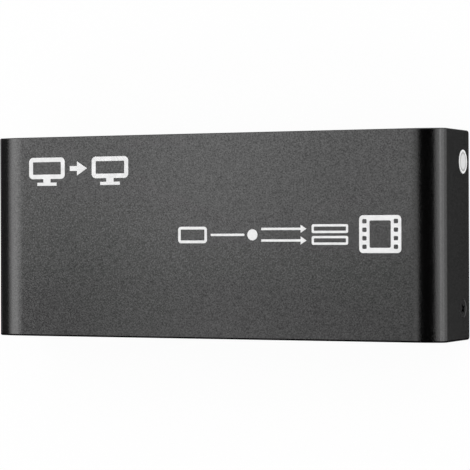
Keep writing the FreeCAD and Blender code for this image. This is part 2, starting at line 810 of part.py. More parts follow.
def make_board_screws():
    """Four pan head screws that hold the board on its standoffs."""
    body = start_body("board_screws", ("0", "0", "board_top"), group=True)
    heads = start_sketch(body, FLAT, "head")
    draw_circle(heads, "-hole_across", "-hole_along", "screw_head_diameter")
    head = pad(heads, "board_screw_head")
    shanks = start_sketch(body, FLAT, "shank")
    draw_circle(shanks, "-hole_across", "-hole_along", "screw_diameter")
    shank = pad(shanks, "board_screw_length", towards=-1)
    recess = start_sketch(body, FLAT, "recess", "board_screw_head")
    draw_polygon(recess, cross_points("-hole_across", "-hole_along"))
    slot = cut(recess, "recess_depth", towards=-1)
    repeat(body, [head, shank, slot], [mirror_step(body, SIDE), mirror_step(body, FRONT)])


def make_board():
    """The circuit board, with holes for its screws and for every leg that goes through."""
    body = start_body("circuit_board", ("0", "0", "board_low"))
    outline = start_sketch(body, FLAT, "outline")
    draw_box(outline, "-board_half_across", "board_half_across",
             "-board_half_along", "board_half_along")
    pad(outline, "board_wall")
    holes = start_sketch(body, FLAT, "holes")
    for across, along in BOARD_HOLES:
        draw_circle(holes, across, along, "screw_hole")
    for _, place in LAMPS:
        for side in ("-", "+"):
            draw_circle(holes, "%s %s lead_pitch / 2" % (place, side),
                        "-lamp_tip + lead_back - lead_wall / 2", "lead_hole_diameter")
    for _, place in SOCKETS:
        for side in ("-", "+"):
            for row in ("leg_first", "leg_second"):
                draw_middle_box(holes, "%s %s (shell_width - shell_wall) / 2" % (place, side),
                                "socket_mouth - " + row, "shell_wall + 2 * slot_clearance",
                                "leg_width + 2 * slot_clearance")
    draw_middle_box(holes, "jack_place", "panel_face - jack_depth - jack_terminal_wall / 2",
                    "jack_terminal_width + 2 * slot_clearance",
                    "jack_terminal_wall + 2 * slot_clearance")
    draw_middle_box(holes, "jack_place", "panel_face - jack_window_back + jack_spring_wall / 2",
                    "jack_spring_width + 2 * slot_clearance",
                    "jack_spring_wall + 2 * slot_clearance")
    cut(holes, "board_wall", towards=1)
    reach = number("board_half_across")

    def is_board_corner(edge):
        low, high = edge_spans(edge)
        return high[2] - low[2] > 0.001 and min(abs(low[0]), abs(high[0])) > reach - 0.001

    soften("Fillet", body, "board_corner_radius", is_board_corner)


def make_socket(name, place):
    """One picture socket: bent steel shell, insulator with its tongue, two contact rows."""
    spot = (place, "socket_mouth", "board_top")
    shell = start_body(name + "_shell", spot)
    outline = start_sketch(shell, FRONT, "outline")
    draw_socket(outline, "0", "0", "0")
    pad(outline, "shell_depth", towards=-1)
    soften("Fillet", shell, "shell_corner_radius", lambda edge: runs_along(edge, 1))
    flare = start_sketch(shell, FRONT, "flare")
    draw_socket(flare, "0", "0", "flare")
    pad(flare, "flare_wall", towards=-1)
    rim = number("flare_wall")
    soften("Fillet", shell, "shell_corner_radius + flare",
           lambda edge: runs_along(edge, 1) and abs(edge.Length - rim) < 0.001)
    legs = start_sketch(shell, SIDE, "legs")
    for row in ("leg_first", "leg_second"):
        draw_box(legs, "-%s - leg_width / 2" % row, "-%s + leg_width / 2" % row,
                 "-board_wall - leg_reach", "shell_height - shell_side / 2")
    pad(legs, "shell_width", both=True)
    gap = start_sketch(shell, FRONT, "between_legs", "-flare_wall")
    draw_box(gap, "-shell_width / 2 + shell_wall", "shell_width / 2 - shell_wall",
             "-board_wall - 2 * leg_reach", "0")
    cut(gap, "shell_depth", towards=-1)
    mouth = start_sketch(shell, FRONT, "mouth")
    draw_socket(mouth, "0", "0", "-shell_wall")
    cut(mouth, "shell_depth", towards=-1)
    depth, bounds = number("shell_depth"), (number("shell_wall / 2"), number("shell_height"))
    half = number("shell_width / 2") - bounds[0]

    def is_inside(edge):
        low, high = edge_spans(edge)
        level = low[2] > bounds[0] and high[2] < bounds[1] - bounds[0]
        return level and low[0] > -half and high[0] < half

    def is_inner_corner(edge):
        return runs_along(edge, 1) and is_inside(edge) and abs(edge.Length - depth) < 0.001

    soften("Fillet", shell, "shell_corner_radius - shell_wall", is_inner_corner)
    soften("Chamfer", shell, "flare", lambda edge: lies_at(edge, 1, 0) and is_inside(edge))
    make_insulator(name, spot)
    make_contacts(name, spot)


def make_insulator(name, spot):
    """The black block at the back of a socket, and the tongue that carries its contacts."""
    body = start_body(name + "_insulator", spot)
    block = start_sketch(body, FRONT, "block", "-socket_cavity")
    draw_socket(block, "0", "0", "(-shell_wall - insulator_clearance)")
    pad(block, "shell_depth - socket_cavity", towards=-1)
    soften("Fillet", body, "shell_corner_radius - shell_wall - insulator_clearance",
           lambda edge: runs_along(edge, 1))
    tongue = start_sketch(body, FRONT, "tongue", "-tongue_recess")
    draw_box(tongue, "-tongue_width / 2", "tongue_width / 2", "tongue_low", "tongue_top")
    pad(tongue, "socket_cavity - tongue_recess", towards=-1)
    slots = start_sketch(body, FRONT, "slots", "-socket_cavity")
    width = "(upper_contacts * contact_pitch) / 2"
    draw_box(slots, "-" + width, width, "tongue_top", "tongue_top + contact_wall + contact_clearance")
    draw_box(slots, "-" + width, width, "tongue_low - contact_wall - contact_clearance", "tongue_low")
    cut(slots, "shell_depth - socket_cavity", towards=-1)


def make_contacts(name, spot):
    """The contact blades of a socket: they lie on the tongue, run out at the back and turn
    down to solder feet on the board."""
    body = start_body(name + "_contacts", spot, group=True)
    tip = "-tongue_recess - contact_setback"
    blades = []
    for row, low, high, back, count in (
            ("upper", "tongue_top", "tongue_top + contact_wall", "upper_back", "upper_contacts"),
            ("lower", "tongue_low - contact_wall", "tongue_low", "lower_back", "lower_contacts")):
        start = "-(%s - 1) * contact_pitch / 2" % count
        blade = start_sketch(body, SIDE, row, start + " - contact_width / 2")
        draw_polygon(blade, ((tip, high), ("-" + back, high), ("-" + back, "contact_wall"),
                             ("-%s - tail_foot" % back, "contact_wall"),
                             ("-%s - tail_foot" % back, "0"), ("-%s + contact_wall" % back, "0"),
                             ("-%s + contact_wall" % back, low), (tip, low)))
        blades.append((pad(blade, "contact_width"), count))
    for blade, count in blades:
        repeat(body, [blade], [row_step(body, "X_Axis", "contact_pitch", count)])


def make_jack():
    """The power jack: moulded body, centre pin with its terminal, and the side spring."""
    spot = ("jack_place", "panel_face", "board_top")
    body = start_body("dc_jack_body", spot)
    nose = start_sketch(body, FRONT, "nose")
    draw_circle(nose, "0", "jack_axis_height", "jack_nose_diameter")
    pad(nose, "jack_nose_length + jack_pin_setback", towards=-1)
    block = start_sketch(body, FRONT, "block", "-jack_nose_length")
    draw_box(block, "-jack_width / 2", "jack_width / 2", "0", "jack_height")
    pad(block, "jack_depth - jack_nose_length", towards=-1)
    bore = start_sketch(body, FRONT, "bore")
    draw_circle(bore, "0", "jack_axis_height", "jack_bore_diameter")
    cut(bore, "jack_bore_depth", towards=-1)
    seat = start_sketch(body, FRONT, "seat")
    draw_circle(seat, "0", "jack_axis_height", "jack_pin_diameter + thread_clearance")
    cut(seat, "jack_depth", towards=-1)
    window = start_sketch(body, FLAT, "window")
    draw_box(window, "-jack_window_width / 2", "jack_window_width / 2",
             "-jack_window_back", "-jack_window_front")
    cut(window, "bore_low + jack_spring_bite", towards=1)
    soften("Chamfer", body, "jack_nose_edge", lambda edge: lies_at(edge, 1, 0))

    pin = start_body("dc_jack_pin", spot)
    rod = start_sketch(pin, FRONT, "rod", "-jack_pin_setback")
    draw_circle(rod, "0", "jack_axis_height", "jack_pin_diameter")
    pad(rod, "jack_back - jack_pin_setback", towards=-1)
    terminal = start_sketch(pin, FRONT, "terminal", "-jack_depth")
    draw_box(terminal, "-jack_terminal_width / 2", "jack_terminal_width / 2",
             "-board_wall - terminal_reach", "jack_axis_height + jack_pin_diameter / 2")
    pad(terminal, "jack_terminal_wall", towards=-1)
    tip = number("-jack_pin_setback")
    soften("Fillet", pin, "jack_pin_diameter / 4", lambda edge: lies_at(edge, 1, tip))

    spring = start_body("dc_jack_spring", spot)
    leaf = start_sketch(spring, SIDE, "leaf")
    rise = "(bore_low + jack_spring_bite / 2)"
    draw_polygon(leaf, (("-jack_window_back", "-board_wall - terminal_reach"),
                        ("-jack_window_back + jack_spring_wall", "-board_wall - terminal_reach"),
                        ("-jack_window_back + jack_spring_wall", "spring_low"),
                        ("-jack_spring_peak", rise), ("spring_front", "spring_low"),
                        ("spring_front", "spring_low + jack_spring_wall"),
                        ("-jack_spring_peak", rise + " + jack_spring_wall"),
                        ("-jack_window_back", "spring_low + jack_spring_wall")))
    pad(leaf, "jack_spring_width", both=True)


def make_lamp(name, place):
    """An indicator lamp lying on its side: domed lens with a flange, and two bent leads."""
    spot = (place, "-lamp_tip", "lamp_level")
    lens = start_body(name + "_lens", spot)
    half = start_sketch(lens, FLAT, "half")
    radius, length = number("lamp_diameter / 2"), number("lamp_length")
    flange, collar = number("lamp_flange_diameter / 2"), number("lamp_length - lamp_flange_wall")
    half.addGeometry(arc_between((0, radius), radius, 270, 360))
    corners = ((radius, radius), (radius, collar), (flange, collar), (flange, length),
               (0, length), (0, 0))
    for start, end in zip(corners, corners[1:]):
        ends = (FreeCAD.Vector(*start, 0), FreeCAD.Vector(*end, 0))
        half.addGeometry(Part.LineSegment(*ends))
    join(half, 0, "Tangent", ((0, 2, 1, 1),))
    join(half, 0, "Coincident", ((1, 2, 2, 1), (2, 2, 3, 1), (3, 2, 4, 1), (4, 2, 5, 1),
                                 (5, 2, 0, 1)))
    for upright in (1, 3, 5):
        half.addConstraint(Sketcher.Constraint("Vertical", upright))
    for flat in (2, 4):
        half.addConstraint(Sketcher.Constraint("Horizontal", flat))
    half.addConstraint(Sketcher.Constraint("Coincident", 5, 2, -1, 1))
    measure(half, "DistanceX", "0", -1, 1, 0, 3)
    measure(half, "DistanceX", "lamp_diameter / 2", -1, 1, 1, 2)
    pin_point(half, 3, 2, "lamp_flange_diameter / 2", "lamp_length")
    measure(half, "DistanceY", "lamp_length - lamp_flange_wall", -1, 1, 2, 1)
    spin(half, "V_Axis")

    leads = start_body(name + "_leads", spot, group=True)
    wire = start_sketch(leads, SIDE, "wire", "(lead_pitch - lead_wall) / 2")
    low = "-lamp_height - board_wall - terminal_reach"
    draw_polygon(wire, (("lamp_length", "-lead_wall / 2"), ("lead_back - lead_wall", "-lead_wall / 2"),
                        ("lead_back - lead_wall", low), ("lead_back", low),
                        ("lead_back", "lead_wall / 2"), ("lamp_length", "lead_wall / 2")))
    mirror(leads, [pad(wire, "lead_wall")], SIDE)


def make_splitter_chip():
    """The splitter chip with pins on all four sides, its thermal tape and its heat sink."""
    spot = ("splitter_across", "splitter_along", "board_top")
    chip = start_body("splitter_ic", spot)
    block = start_sketch(chip, FLAT, "block", "chip_lift")
    draw_middle_box(block, "0", "0", "splitter_width", "splitter_width")
    pad(block, "chip_height")
    mark = start_sketch(chip, FLAT, "mark", "chip_top")
    corner = "-splitter_width / 2 + chip_mark_inset"
    draw_circle(mark, corner, corner, "chip_mark_diameter")
    cut(mark, "chip_mark_depth", towards=-1)

    pins = start_body("splitter_ic_leads", spot, group=True)
    pin = draw_pin(pins, "splitter_width / 2", "chip_lift + chip_height / 2",
                   "-splitter_pitch * (splitter_pins - 1) / 2", "fine_pin_width")
    repeat(pins, [pin], [row_step(pins, "Y_Axis", "splitter_pitch", "splitter_pins"),
                         round_step(pins, 4)])

    tape = start_body("thermal_tape", spot)
    pads = start_sketch(tape, FLAT, "pad", "chip_top")
    draw_middle_box(pads, "0", "0", "tape_width", "tape_width")
    pad(pads, "tape_wall")

    sink = start_body("heat_sink", spot)
    floor = start_sketch(sink, FLAT, "floor", "sink_low")
    draw_middle_box(floor, "0", "0", "sink_width", "sink_width")
    pad(floor, "sink_floor")
    fin = start_sketch(sink, FLAT, "fin", "sink_low + sink_floor")
    draw_box(fin, "-sink_width / 2", "-sink_width / 2 + fin_wall",
             "-sink_width / 2", "sink_width / 2")
    repeat(sink, [pad(fin, "sink_height - sink_floor")],
           [row_step(sink, "X_Axis", "fin_gap", "fin_count")])


def draw_pin(body, start, height, along, width):
    """One gull-wing pin of a chip: out of the side, down to the board, and a foot."""
    profile = start_sketch(body, FRONT, "pin", "%s - (%s) / 2" % (along, width))
    knee = start + " + pin_shoulder"
    draw_polygon(profile, ((start, height), (start, height + " + pin_wall"),
                           (knee + " + pin_wall", height + " + pin_wall"),
                           (knee + " + pin_wall", "pin_wall"), (start + " + pin_end", "pin_wall"),
                           (start + " + pin_end", "0"), (knee, "0"), (knee, height)))
    return pad(profile, width, towards=1)


def make_small_chip(name, across, along, length, pins):
    """A chip with pins along its two long sides."""
    spot = (across, along, "board_top")
    body = start_body(name, spot)
    block = start_sketch(body, FLAT, "block", "chip_lift")
    draw_middle_box(block, "0", "0", "small_chip_width", length)
    pad(block, "small_chip_height")
    mark = start_sketch(body, FLAT, "mark", "chip_lift + small_chip_height")
    draw_circle(mark, "-small_chip_width / 2 + chip_mark_diameter",
                "-%s / 2 + chip_mark_diameter" % length, "chip_mark_diameter")
    cut(mark, "chip_mark_depth", towards=-1)
    leads = start_body(name + "_leads", spot, group=True)
    pin = draw_pin(leads, "small_chip_width / 2", "chip_lift + small_chip_height / 2",
                   "-small_pin_pitch * (%s - 1) / 2" % pins, "small_pin_width")
    repeat(leads, [pin], [row_step(leads, "Y_Axis", "small_pin_pitch", pins),
                          mirror_step(leads, SIDE)])


def make_regulator(name, across):
    """A voltage regulator: three pins on one side and a wide tab on the other."""
    spot = (across, "regulator_along", "board_top")
    body = start_body(name, spot)
    block = start_sketch(body, FLAT, "block")
    draw_middle_box(block, "0", "0", "regulator_width", "regulator_length")
    pad(block, "regulator_height")
    leads = start_body(name + "_leads", spot, group=True)
    pin = draw_pin(leads, "regulator_width / 2", "regulator_height / 2",
                   "-regulator_pitch * (regulator_pins - 1) / 2", "regulator_pin_width")
    repeat(leads, [pin], [row_step(leads, "Y_Axis", "regulator_pitch", "regulator_pins")])
    tab = start_sketch(leads, FRONT, "tab")
    edge = "-regulator_width / 2"
    knee = edge + " - pin_shoulder"
    draw_polygon(tab, ((edge, "regulator_height / 2"), (edge, "regulator_height / 2 + pin_wall"),
                       (knee + " - pin_wall", "regulator_height / 2 + pin_wall"),
                       (knee + " - pin_wall", "pin_wall"), (edge + " - pin_end", "pin_wall"),
                       (edge + " - pin_end", "0"), (knee, "0"), (knee, "regulator_height / 2")))
    pad(tab, "regulator_tab_width", both=True)


def make_capacitors():
    """Two bulk capacitors: round cans on square plastic bases."""
    bases = start_body("capacitor_bases", ("0", "can_along", "board_top"), group=True)
    cans = start_body("capacitor_cans", ("0", "can_along", "board_top"), group=True)
    base = start_sketch(bases, FLAT, "base")
    can = start_sketch(cans, FLAT, "can", "can_base_height")
    for across in ("can_one_across", "can_two_across"):
        draw_middle_box(base, across, "0", "can_base_width", "can_base_width")
        draw_circle(can, across, "0", "can_diameter")
    pad(base, "can_base_height")
    pad(can, "can_height")
    top = number("can_base_height + can_height")
    soften("Fillet", cans, "can_edge", lambda edge: lies_at(edge, 2, top))


def make_inductor():
    """The power inductor: a drum core and the winding between its flanges."""
    spot = ("coil_across", "coil_along", "board_top")
    core = start_body("inductor_core", spot)
    drum = start_sketch(core, FRONT, "drum")
    rim, neck = "coil_core_diameter / 2", "coil_neck_diameter / 2"
    upper = "coil_core_height - coil_flange_wall"
    draw_polygon(drum, (("0", "0"), (rim, "0"), (rim, "coil_flange_wall"),
                        (neck, "coil_flange_wall"), (neck, upper), (rim, upper),
                        (rim, "coil_core_height"), ("0", "coil_core_height")))
    spin(drum, "V_Axis")
    winding = start_body("inductor_winding", spot)
    ring = start_sketch(winding, FRONT, "ring")
    draw_box(ring, neck + " + coil_clearance", "coil_winding_diameter / 2",
             "coil_flange_wall", upper + " - coil_clearance")
    spin(ring, "V_Axis")


def make_crystal():
    """The crystal: a round-ended metal can on a thin base."""
    spot = ("crystal_across", "crystal_along", "board_top")
    base = start_body("crystal_base", spot)
    plate = start_sketch(base, FLAT, "plate")
    draw_middle_box(plate, "0", "0", "crystal_length + 2 * crystal_base_rim",
                    "crystal_width + 2 * crystal_base_rim")
    pad(plate, "crystal_base_wall")
    can = start_body("crystal_can", spot)
    block = start_sketch(can, FLAT, "block", "crystal_base_wall")
    draw_middle_box(block, "0", "0", "crystal_length", "crystal_width")
    pad(block, "crystal_height")

    def is_upright(edge):
        low, high = edge_spans(edge)
        return high[2] - low[2] > 0.001

    soften("Fillet", can, "crystal_width / 2 - part_edge", is_upright)


def make_chip_parts(name, spot, height, steps):
    """Chip capacitors or chip resistors in rows. Each step is an axis, a spacing, a count."""
    body = start_body(name, spot + ("board_top",), group=True)
    block = start_sketch(body, FLAT, "block")
    draw_middle_box(block, "0", "0", "chip_part_width", "chip_part_length")
    repeat(body, [pad(block, height)], [row_step(body, *step) for step in steps])


def make_block_part(name, size, height, place):
    """A moulded two-ended part with its upper edges eased."""
    body = start_body(name, place + ("board_top",))
    block = start_sketch(body, FLAT, "block")
    draw_middle_box(block, "0", "0", *size)
    pad(block, height)
    top = number(height)
    soften("Chamfer", body, "part_edge", lambda edge: lies_at(edge, 2, top))


def make_guards():
    """Static protection arrays, two behind each picture socket."""
    body = start_body("esd_arrays", ("0", "guard_along", "board_top"), group=True)
    block = start_sketch(body, FLAT, "block")
    for _, place in SOCKETS:
        for side in ("-", "+"):
            draw_middle_box(block, "%s %s guard_spread / 2" % (place, side), "0",
                            "guard_width", "guard_width")
    pad(block, "guard_height")


def make_everything():
    """Every sub-part, from the box inwards."""
    make_cover()
    make_tray()
    make_cover_screws()
    make_seal()
    make_feet()
    make_standoffs()
    make_board_screws()
    make_board()
    for name, place in SOCKETS:
        make_socket(name, place)
    make_jack()
    for name, place in LAMPS:
        make_lamp(name, place)
    make_splitter_chip()
    make_small_chip("controller_ic", "controller_across", "controller_along",
                    "controller_length", "controller_pins")
    for name, across in (("memory_one", "memory_one_across"), ("memory_two", "memory_two_across")):
        make_small_chip(name, across, "memory_along", "memory_length", "memory_pins")
    for name, across in (("regulator_one", "regulator_one_across"),
                         ("regulator_two", "regulator_two_across")):
        make_regulator(name, across)
    make_capacitors()
    make_inductor()
    make_crystal()
    make_chip_parts("chip_capacitors", ("capacitor_row_across", "capacitor_row_along"),
                    "chip_capacitor_height",
                    (("X_Axis", "chip_part_pitch", "capacitor_row_count"),
                     ("Y_Axis", "capacitor_row_gap", "capacitor_rows")))
    make_chip_parts("chip_resistors", ("resistor_row_across", "resistor_row_along"),
                    "chip_resistor_height",
                    (("X_Axis", "chip_part_pitch", "resistor_row_count"),))
    make_block_part("diode", ("diode_width", "diode_length"), "diode_height",
                    ("diode_across", "can_along"))
    make_block_part("fuse", ("fuse_width", "fuse_length"), "fuse_height",
                    ("fuse_across", "coil_along"))
    make_guards()


def check_everything():
    """Stops if any feature failed or any sub-part has no sound shape."""
    for item in doc.Objects:
        if "Invalid" in item.State or "Error" in item.State:
            raise ValueError("%s failed: %s" % (item.Name, item.State))
    for body in pieces:
        if body.Shape.isNull() or not body.Shape.isValid() or not body.Shape.Solids:
            raise ValueError(body.Label + " has no sound shape")


def write_parts():
    """Writes one file for each sub-part, under the sub-part's own name."""
    os.makedirs("parts", exist_ok=True)
    for body in pieces:
        body.Shape.exportStep("parts/%s.step" % body.Label)
        print("%-26s solids %3d  volume %10.3f" % (body.Label, len(body.Shape.Solids),
                                                   body.Shape.Volume))


fill_sheet()
make_everything()
doc.recompute()
check_everything()
write_parts()
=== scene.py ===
import json
import math

import bmesh
import bpy
from mathutils import Matrix, Vector

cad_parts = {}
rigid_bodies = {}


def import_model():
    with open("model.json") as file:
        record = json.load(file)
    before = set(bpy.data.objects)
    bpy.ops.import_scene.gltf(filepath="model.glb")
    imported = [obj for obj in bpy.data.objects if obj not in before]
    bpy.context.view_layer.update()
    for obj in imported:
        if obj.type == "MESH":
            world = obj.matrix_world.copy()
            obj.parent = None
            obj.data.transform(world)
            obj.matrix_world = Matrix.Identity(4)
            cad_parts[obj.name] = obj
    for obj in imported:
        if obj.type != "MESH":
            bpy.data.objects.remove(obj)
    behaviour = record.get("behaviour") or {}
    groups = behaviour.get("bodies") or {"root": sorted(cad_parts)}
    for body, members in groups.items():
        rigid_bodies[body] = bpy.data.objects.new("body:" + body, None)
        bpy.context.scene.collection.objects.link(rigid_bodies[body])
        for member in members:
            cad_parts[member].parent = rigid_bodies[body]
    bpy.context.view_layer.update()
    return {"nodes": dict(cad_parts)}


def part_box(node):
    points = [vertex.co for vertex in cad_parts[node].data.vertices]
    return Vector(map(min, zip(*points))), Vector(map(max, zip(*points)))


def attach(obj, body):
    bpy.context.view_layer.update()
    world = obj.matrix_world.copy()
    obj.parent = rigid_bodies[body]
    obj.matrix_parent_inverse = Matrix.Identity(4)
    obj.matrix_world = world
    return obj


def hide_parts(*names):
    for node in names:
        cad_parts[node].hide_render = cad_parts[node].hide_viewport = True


# The looks of a flat metal video splitter. Lengths in this file are in millimetres and are
# turned into metres where a mesh, lamp or texture takes them.

MM = 0.001

for leftover in list(bpy.data.objects):
    bpy.data.objects.remove(leftover)

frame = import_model()
NODES = frame["nodes"]


def box_mm(node):
    """Lowest and highest corner of a CAD node, in millimetres."""
    low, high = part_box(node)
    return low / MM, high / MM


# Finishes: procedural materials, one for each slot of the record.

SOCKETS = {"Base_Color": "Base Color", "Specular_Tint": "Specular Tint",
           "Specular": "Specular IOR Level", "Coat": "Coat Weight",
           "Coat_Roughness": "Coat Roughness", "Transmission": "Transmission Weight",
           "Subsurface": "Subsurface Weight", "Subsurface_Radius": "Subsurface Radius",
           "Subsurface_Scale": "Subsurface Scale", "Sheen": "Sheen Weight"}


class Finish:
    """A material built round one Principled shader, with its detail from noise in space."""

    def __init__(self, name, **values):
        self.material = bpy.data.materials.new(name)
        self.material.use_nodes = True
        self.tree = self.material.node_tree
        self.shader = self.tree.nodes["Principled BSDF"]
        self.place = self.add("ShaderNodeTexCoord").outputs["Object"]
        self.set(**values)

    def feed(self, socket, value):
        """Links another socket to this one, or sets it, a colour with an alpha of 1."""
        if isinstance(value, bpy.types.NodeSocket):
            self.tree.links.new(value, socket)
            return
        if hasattr(socket.default_value, "__len__") and len(socket.default_value) == 4:
            value = (*value, 1.0)
        socket.default_value = value

    def add(self, kind, inputs=(), **settings):
        """A new node with its inputs fed and its settings made."""
        node = self.tree.nodes.new(kind)
        for name, value in settings.items():
            setattr(node, name, value)
        for key, value in dict(inputs).items():
            self.feed(node.inputs[key], value)
        return node

    def set(self, **values):
        """Sets or links the shader's sockets by their names, or by their short names above."""
        for key, value in values.items():
            self.feed(self.shader.inputs[SOCKETS.get(key, key)], value)

    def stretched(self, stretch):
        """The place in space, squeezed along each axis by these factors."""
        return self.add("ShaderNodeVectorMath", {0: self.place, 1: stretch},
                        operation="MULTIPLY").outputs[0]

    def noise(self, grain, detail=2.0, stretch=None):
        """Noise from 0 to 1 whose blobs are about grain millimetres across."""
        place = self.place if stretch is None else self.stretched(stretch)
        return self.add("ShaderNodeTexNoise", {"Vector": place, "Scale": 0.5 / (grain * MM),
                                               "Detail": detail}).outputs["Fac"]

    def ramp(self, source, low, high, start=0.35, end=0.65):
        """The source between start and end, moved to run from low to high."""
        return self.add("ShaderNodeMapRange", {"Value": source, "From Min": start,
                                               "From Max": end, "To Min": low,
                                               "To Max": high}).outputs["Result"]

    def sum(self, first, second, kind="ADD"):
        """Two values added, or put together in another way."""
        return self.add("ShaderNodeMath", {0: first, 1: second}, operation=kind).outputs[0]

    def blend(self, factor, first, second):
        """A colour between two colours."""
        node = self.add("ShaderNodeMix", data_type="RGBA")
        self.feed(node.inputs["Factor"], factor)
        self.feed(node.inputs[6], first)
        self.feed(node.inputs[7], second)
        return node.outputs[2]

    def axis(self, letter):
        """One coordinate in space, in millimetres."""
        parts = self.add("ShaderNodeSeparateXYZ", {"Vector": self.place})
        return self.sum(parts.outputs[letter], 1 / MM, "MULTIPLY")

    def bump(self, height, depth, under=None):
        """Relief of so many millimetres where height goes from 0 to 1."""
        node = self.add("ShaderNodeBump", {"Height": height, "Distance": depth * MM,
                                           "Strength": 1.0})
        if under is not None:
            self.feed(node.inputs["Normal"], under)
        return node.outputs["Normal"]


def grey(level, warmth=0.0):
    """A near-grey colour, warmer with a positive warmth."""
    return (level * (1 + warmth), level, level * (1 - warmth))


# The blasted metal: the size of its grains, patches and clouds, the coarse grain's share in its
# shade, and how far that shade swings round the level. Then what is left of the swing where the
# sheet is bent, what is left of the level in the painted shade along a cut rim, and how softly
# each begins.
GRAIN, FINE_GRAIN, PATCH, CLOUD = 0.16, 0.1, 0.6, 24.0
COARSE_SHARE, SPARKLE = 0.62, 0.52
CALM_SHARE, CALM_FADE = 0.4, 2.0
RIM_SHADE_SHARE, RIM_SHADE_FADE = 0.06, 0.05


def anodised(name, level, rough, tint, bend=None, rim=None):
    """Blasted aluminium dyed black: a dim metal with a fine sparkling grain. The grain is
    calmer where the sheet is bent, past x = bend at both ends, and in front of y = rim the
    cut rim is darkened by painted shade."""
    look = Finish(name, Metallic=1.0, Specular_Tint=grey(tint))
    grain = look.noise(GRAIN, 1.0)
    fine = look.noise(FINE_GRAIN, 1.0)
    patches = look.noise(PATCH, 2.0)
    cloud = look.noise(CLOUD, 3.0)
    speckle = look.sum(look.ramp(grain, 0.0, COARSE_SHARE, 0.3, 0.7),
                       look.ramp(fine, 0.0, 1 - COARSE_SHARE, 0.3, 0.7))
    mottle = look.sum(look.ramp(patches, -0.05, 0.05), look.ramp(cloud, -0.04, 0.04))
    shade = look.sum(speckle, mottle)
    if bend is not None:
        past = look.sum(look.axis("X"), 0.0, "ABSOLUTE")
        calm = look.ramp(past, 1.0, CALM_SHARE, bend - CALM_FADE, bend + CALM_FADE)
        swing = look.sum(look.sum(shade, 0.5, "SUBTRACT"), calm, "MULTIPLY")
        shade = look.sum(swing, 0.5)
    metal = look.blend(shade, grey(level * (1 - SPARKLE)), grey(level * (1 + SPARKLE)))
    if rim is not None:
        # Painted shade: a dark band along the cut rim in front of y = rim.
        painted_rim_shade = look.ramp(look.axis("Y"), 1.0, 0.0, rim - RIM_SHADE_FADE, rim + RIM_SHADE_FADE)
        metal = look.blend(painted_rim_shade, metal, grey(level * RIM_SHADE_SHARE))
    look.set(Base_Color=metal)
    look.set(Roughness=look.ramp(grain, rough - 0.03, rough + 0.03))
    look.set(Normal=look.bump(fine, 0.007, look.bump(grain, 0.005)))
    return look.material


def screen_ink(name):
    """White ink printed through a mesh: matt, a little uneven, with the metal's grain in it."""
    look = Finish(name, Specular=0.35)
    grain = look.noise(GRAIN, 3.0)
    cover = look.noise(0.9, 4.0)
    look.set(Base_Color=look.blend(look.ramp(cover, 0.0, 1.0, 0.3, 0.7), grey(0.76), grey(0.86)))
    look.set(Roughness=look.ramp(grain, 0.5, 0.62))
    look.set(Normal=look.bump(grain, 0.006))
    return look.material


# The radius of the ring in which the seal is pressed round a screw's head, how far from it the
# painted shade in that groove fades out, and how far outside it the rim's painted highlight
# begins.
PRESSED_RING = 1.85
GROOVE_SHADE_NEAR, GROOVE_SHADE_FAR = 0.06, 0.3
RIM_HIGHLIGHT_NEAR, RIM_HIGHLIGHT_FAR = 0.2, 0.35


def paper(name):
    """White paper with painted shade in a ring where it is pressed round the screw's head, and
    lighter on the rim outside that ring as a painted highlight."""
    look = Finish(name, Specular=0.25, Sheen=0.1)
    fibre = look.noise(0.22, 4.0, (1.0, 1.0, 0.35))
    pulp = look.noise(0.9, 3.0)
    low, high = box_mm("seal_sticker")
    across = look.sum(look.axis("Y"), (low.y + high.y) / 2, "SUBTRACT")
    up = look.sum(look.axis("Z"), (low.z + high.z) / 2, "SUBTRACT")
    squares = look.sum(look.sum(across, across, "MULTIPLY"), look.sum(up, up, "MULTIPLY"))
    reach = look.sum(squares, 0.5, "POWER")
    away = look.sum(look.sum(reach, PRESSED_RING, "SUBTRACT"), 0.0, "ABSOLUTE")
    # Painted shade: the ring where the paper is pressed round the screw's head is darkened.
    painted_groove_shade = look.sum(look.ramp(away, 1.0, 0.0, GROOVE_SHADE_NEAR, GROOVE_SHADE_FAR), look.ramp(pulp, 0.7, 1.0),
                    "MULTIPLY")
    middle = look.blend(look.ramp(pulp, 0.0, 1.0), grey(0.64, 0.01), grey(0.72))
    # Painted highlight: the rim outside that ring is made lighter.
    rim = look.ramp(reach, 0.0, 1.0, PRESSED_RING + RIM_HIGHLIGHT_NEAR, PRESSED_RING + RIM_HIGHLIGHT_FAR)
    paper_with_rim_highlight = look.blend(rim, middle, grey(0.86))
    look.set(Base_Color=look.blend(painted_groove_shade, paper_with_rim_highlight, grey(0.33)))
    look.set(Roughness=look.ramp(fibre, 0.7, 0.9))
    look.set(Normal=look.bump(fibre, 0.012))
    return look.material


def rubber(name):
    """Black rubber, dusty in patches."""
    look = Finish(name, Specular=0.3)
    pores = look.noise(0.12, 3.0)
    dust = look.noise(1.8, 4.0)
    look.set(Base_Color=look.blend(look.ramp(dust, 0.0, 1.0, 0.45, 0.75), grey(0.018), grey(0.05)))
    look.set(Roughness=look.ramp(dust, 0.62, 0.85))
    look.set(Normal=look.bump(pores, 0.01))
    return look.material


def rolled_metal(name, colour, rough, grain, run=(1.0, 0.06, 1.0)):
    """Sheet metal with faint rolling lines along one axis and a few dull patches."""
    look = Finish(name, Metallic=1.0)
    lines = look.noise(grain, 3.0, run)
    haze = look.noise(2.5, 3.0)
    dull = tuple(part * 0.82 for part in colour)
    look.set(Base_Color=look.blend(look.ramp(haze, 0.0, 1.0), dull, colour))
    streaks = look.ramp(lines, -0.06, 0.06, 0.3, 0.7)
    look.set(Roughness=look.sum(look.ramp(haze, rough + 0.08, rough), streaks))
    look.set(Normal=look.bump(lines, 0.0012))
    return look.material


# How deep under a screw's face the painted shade in its recess begins.
RECESS_SHADE_FROM = 0.02


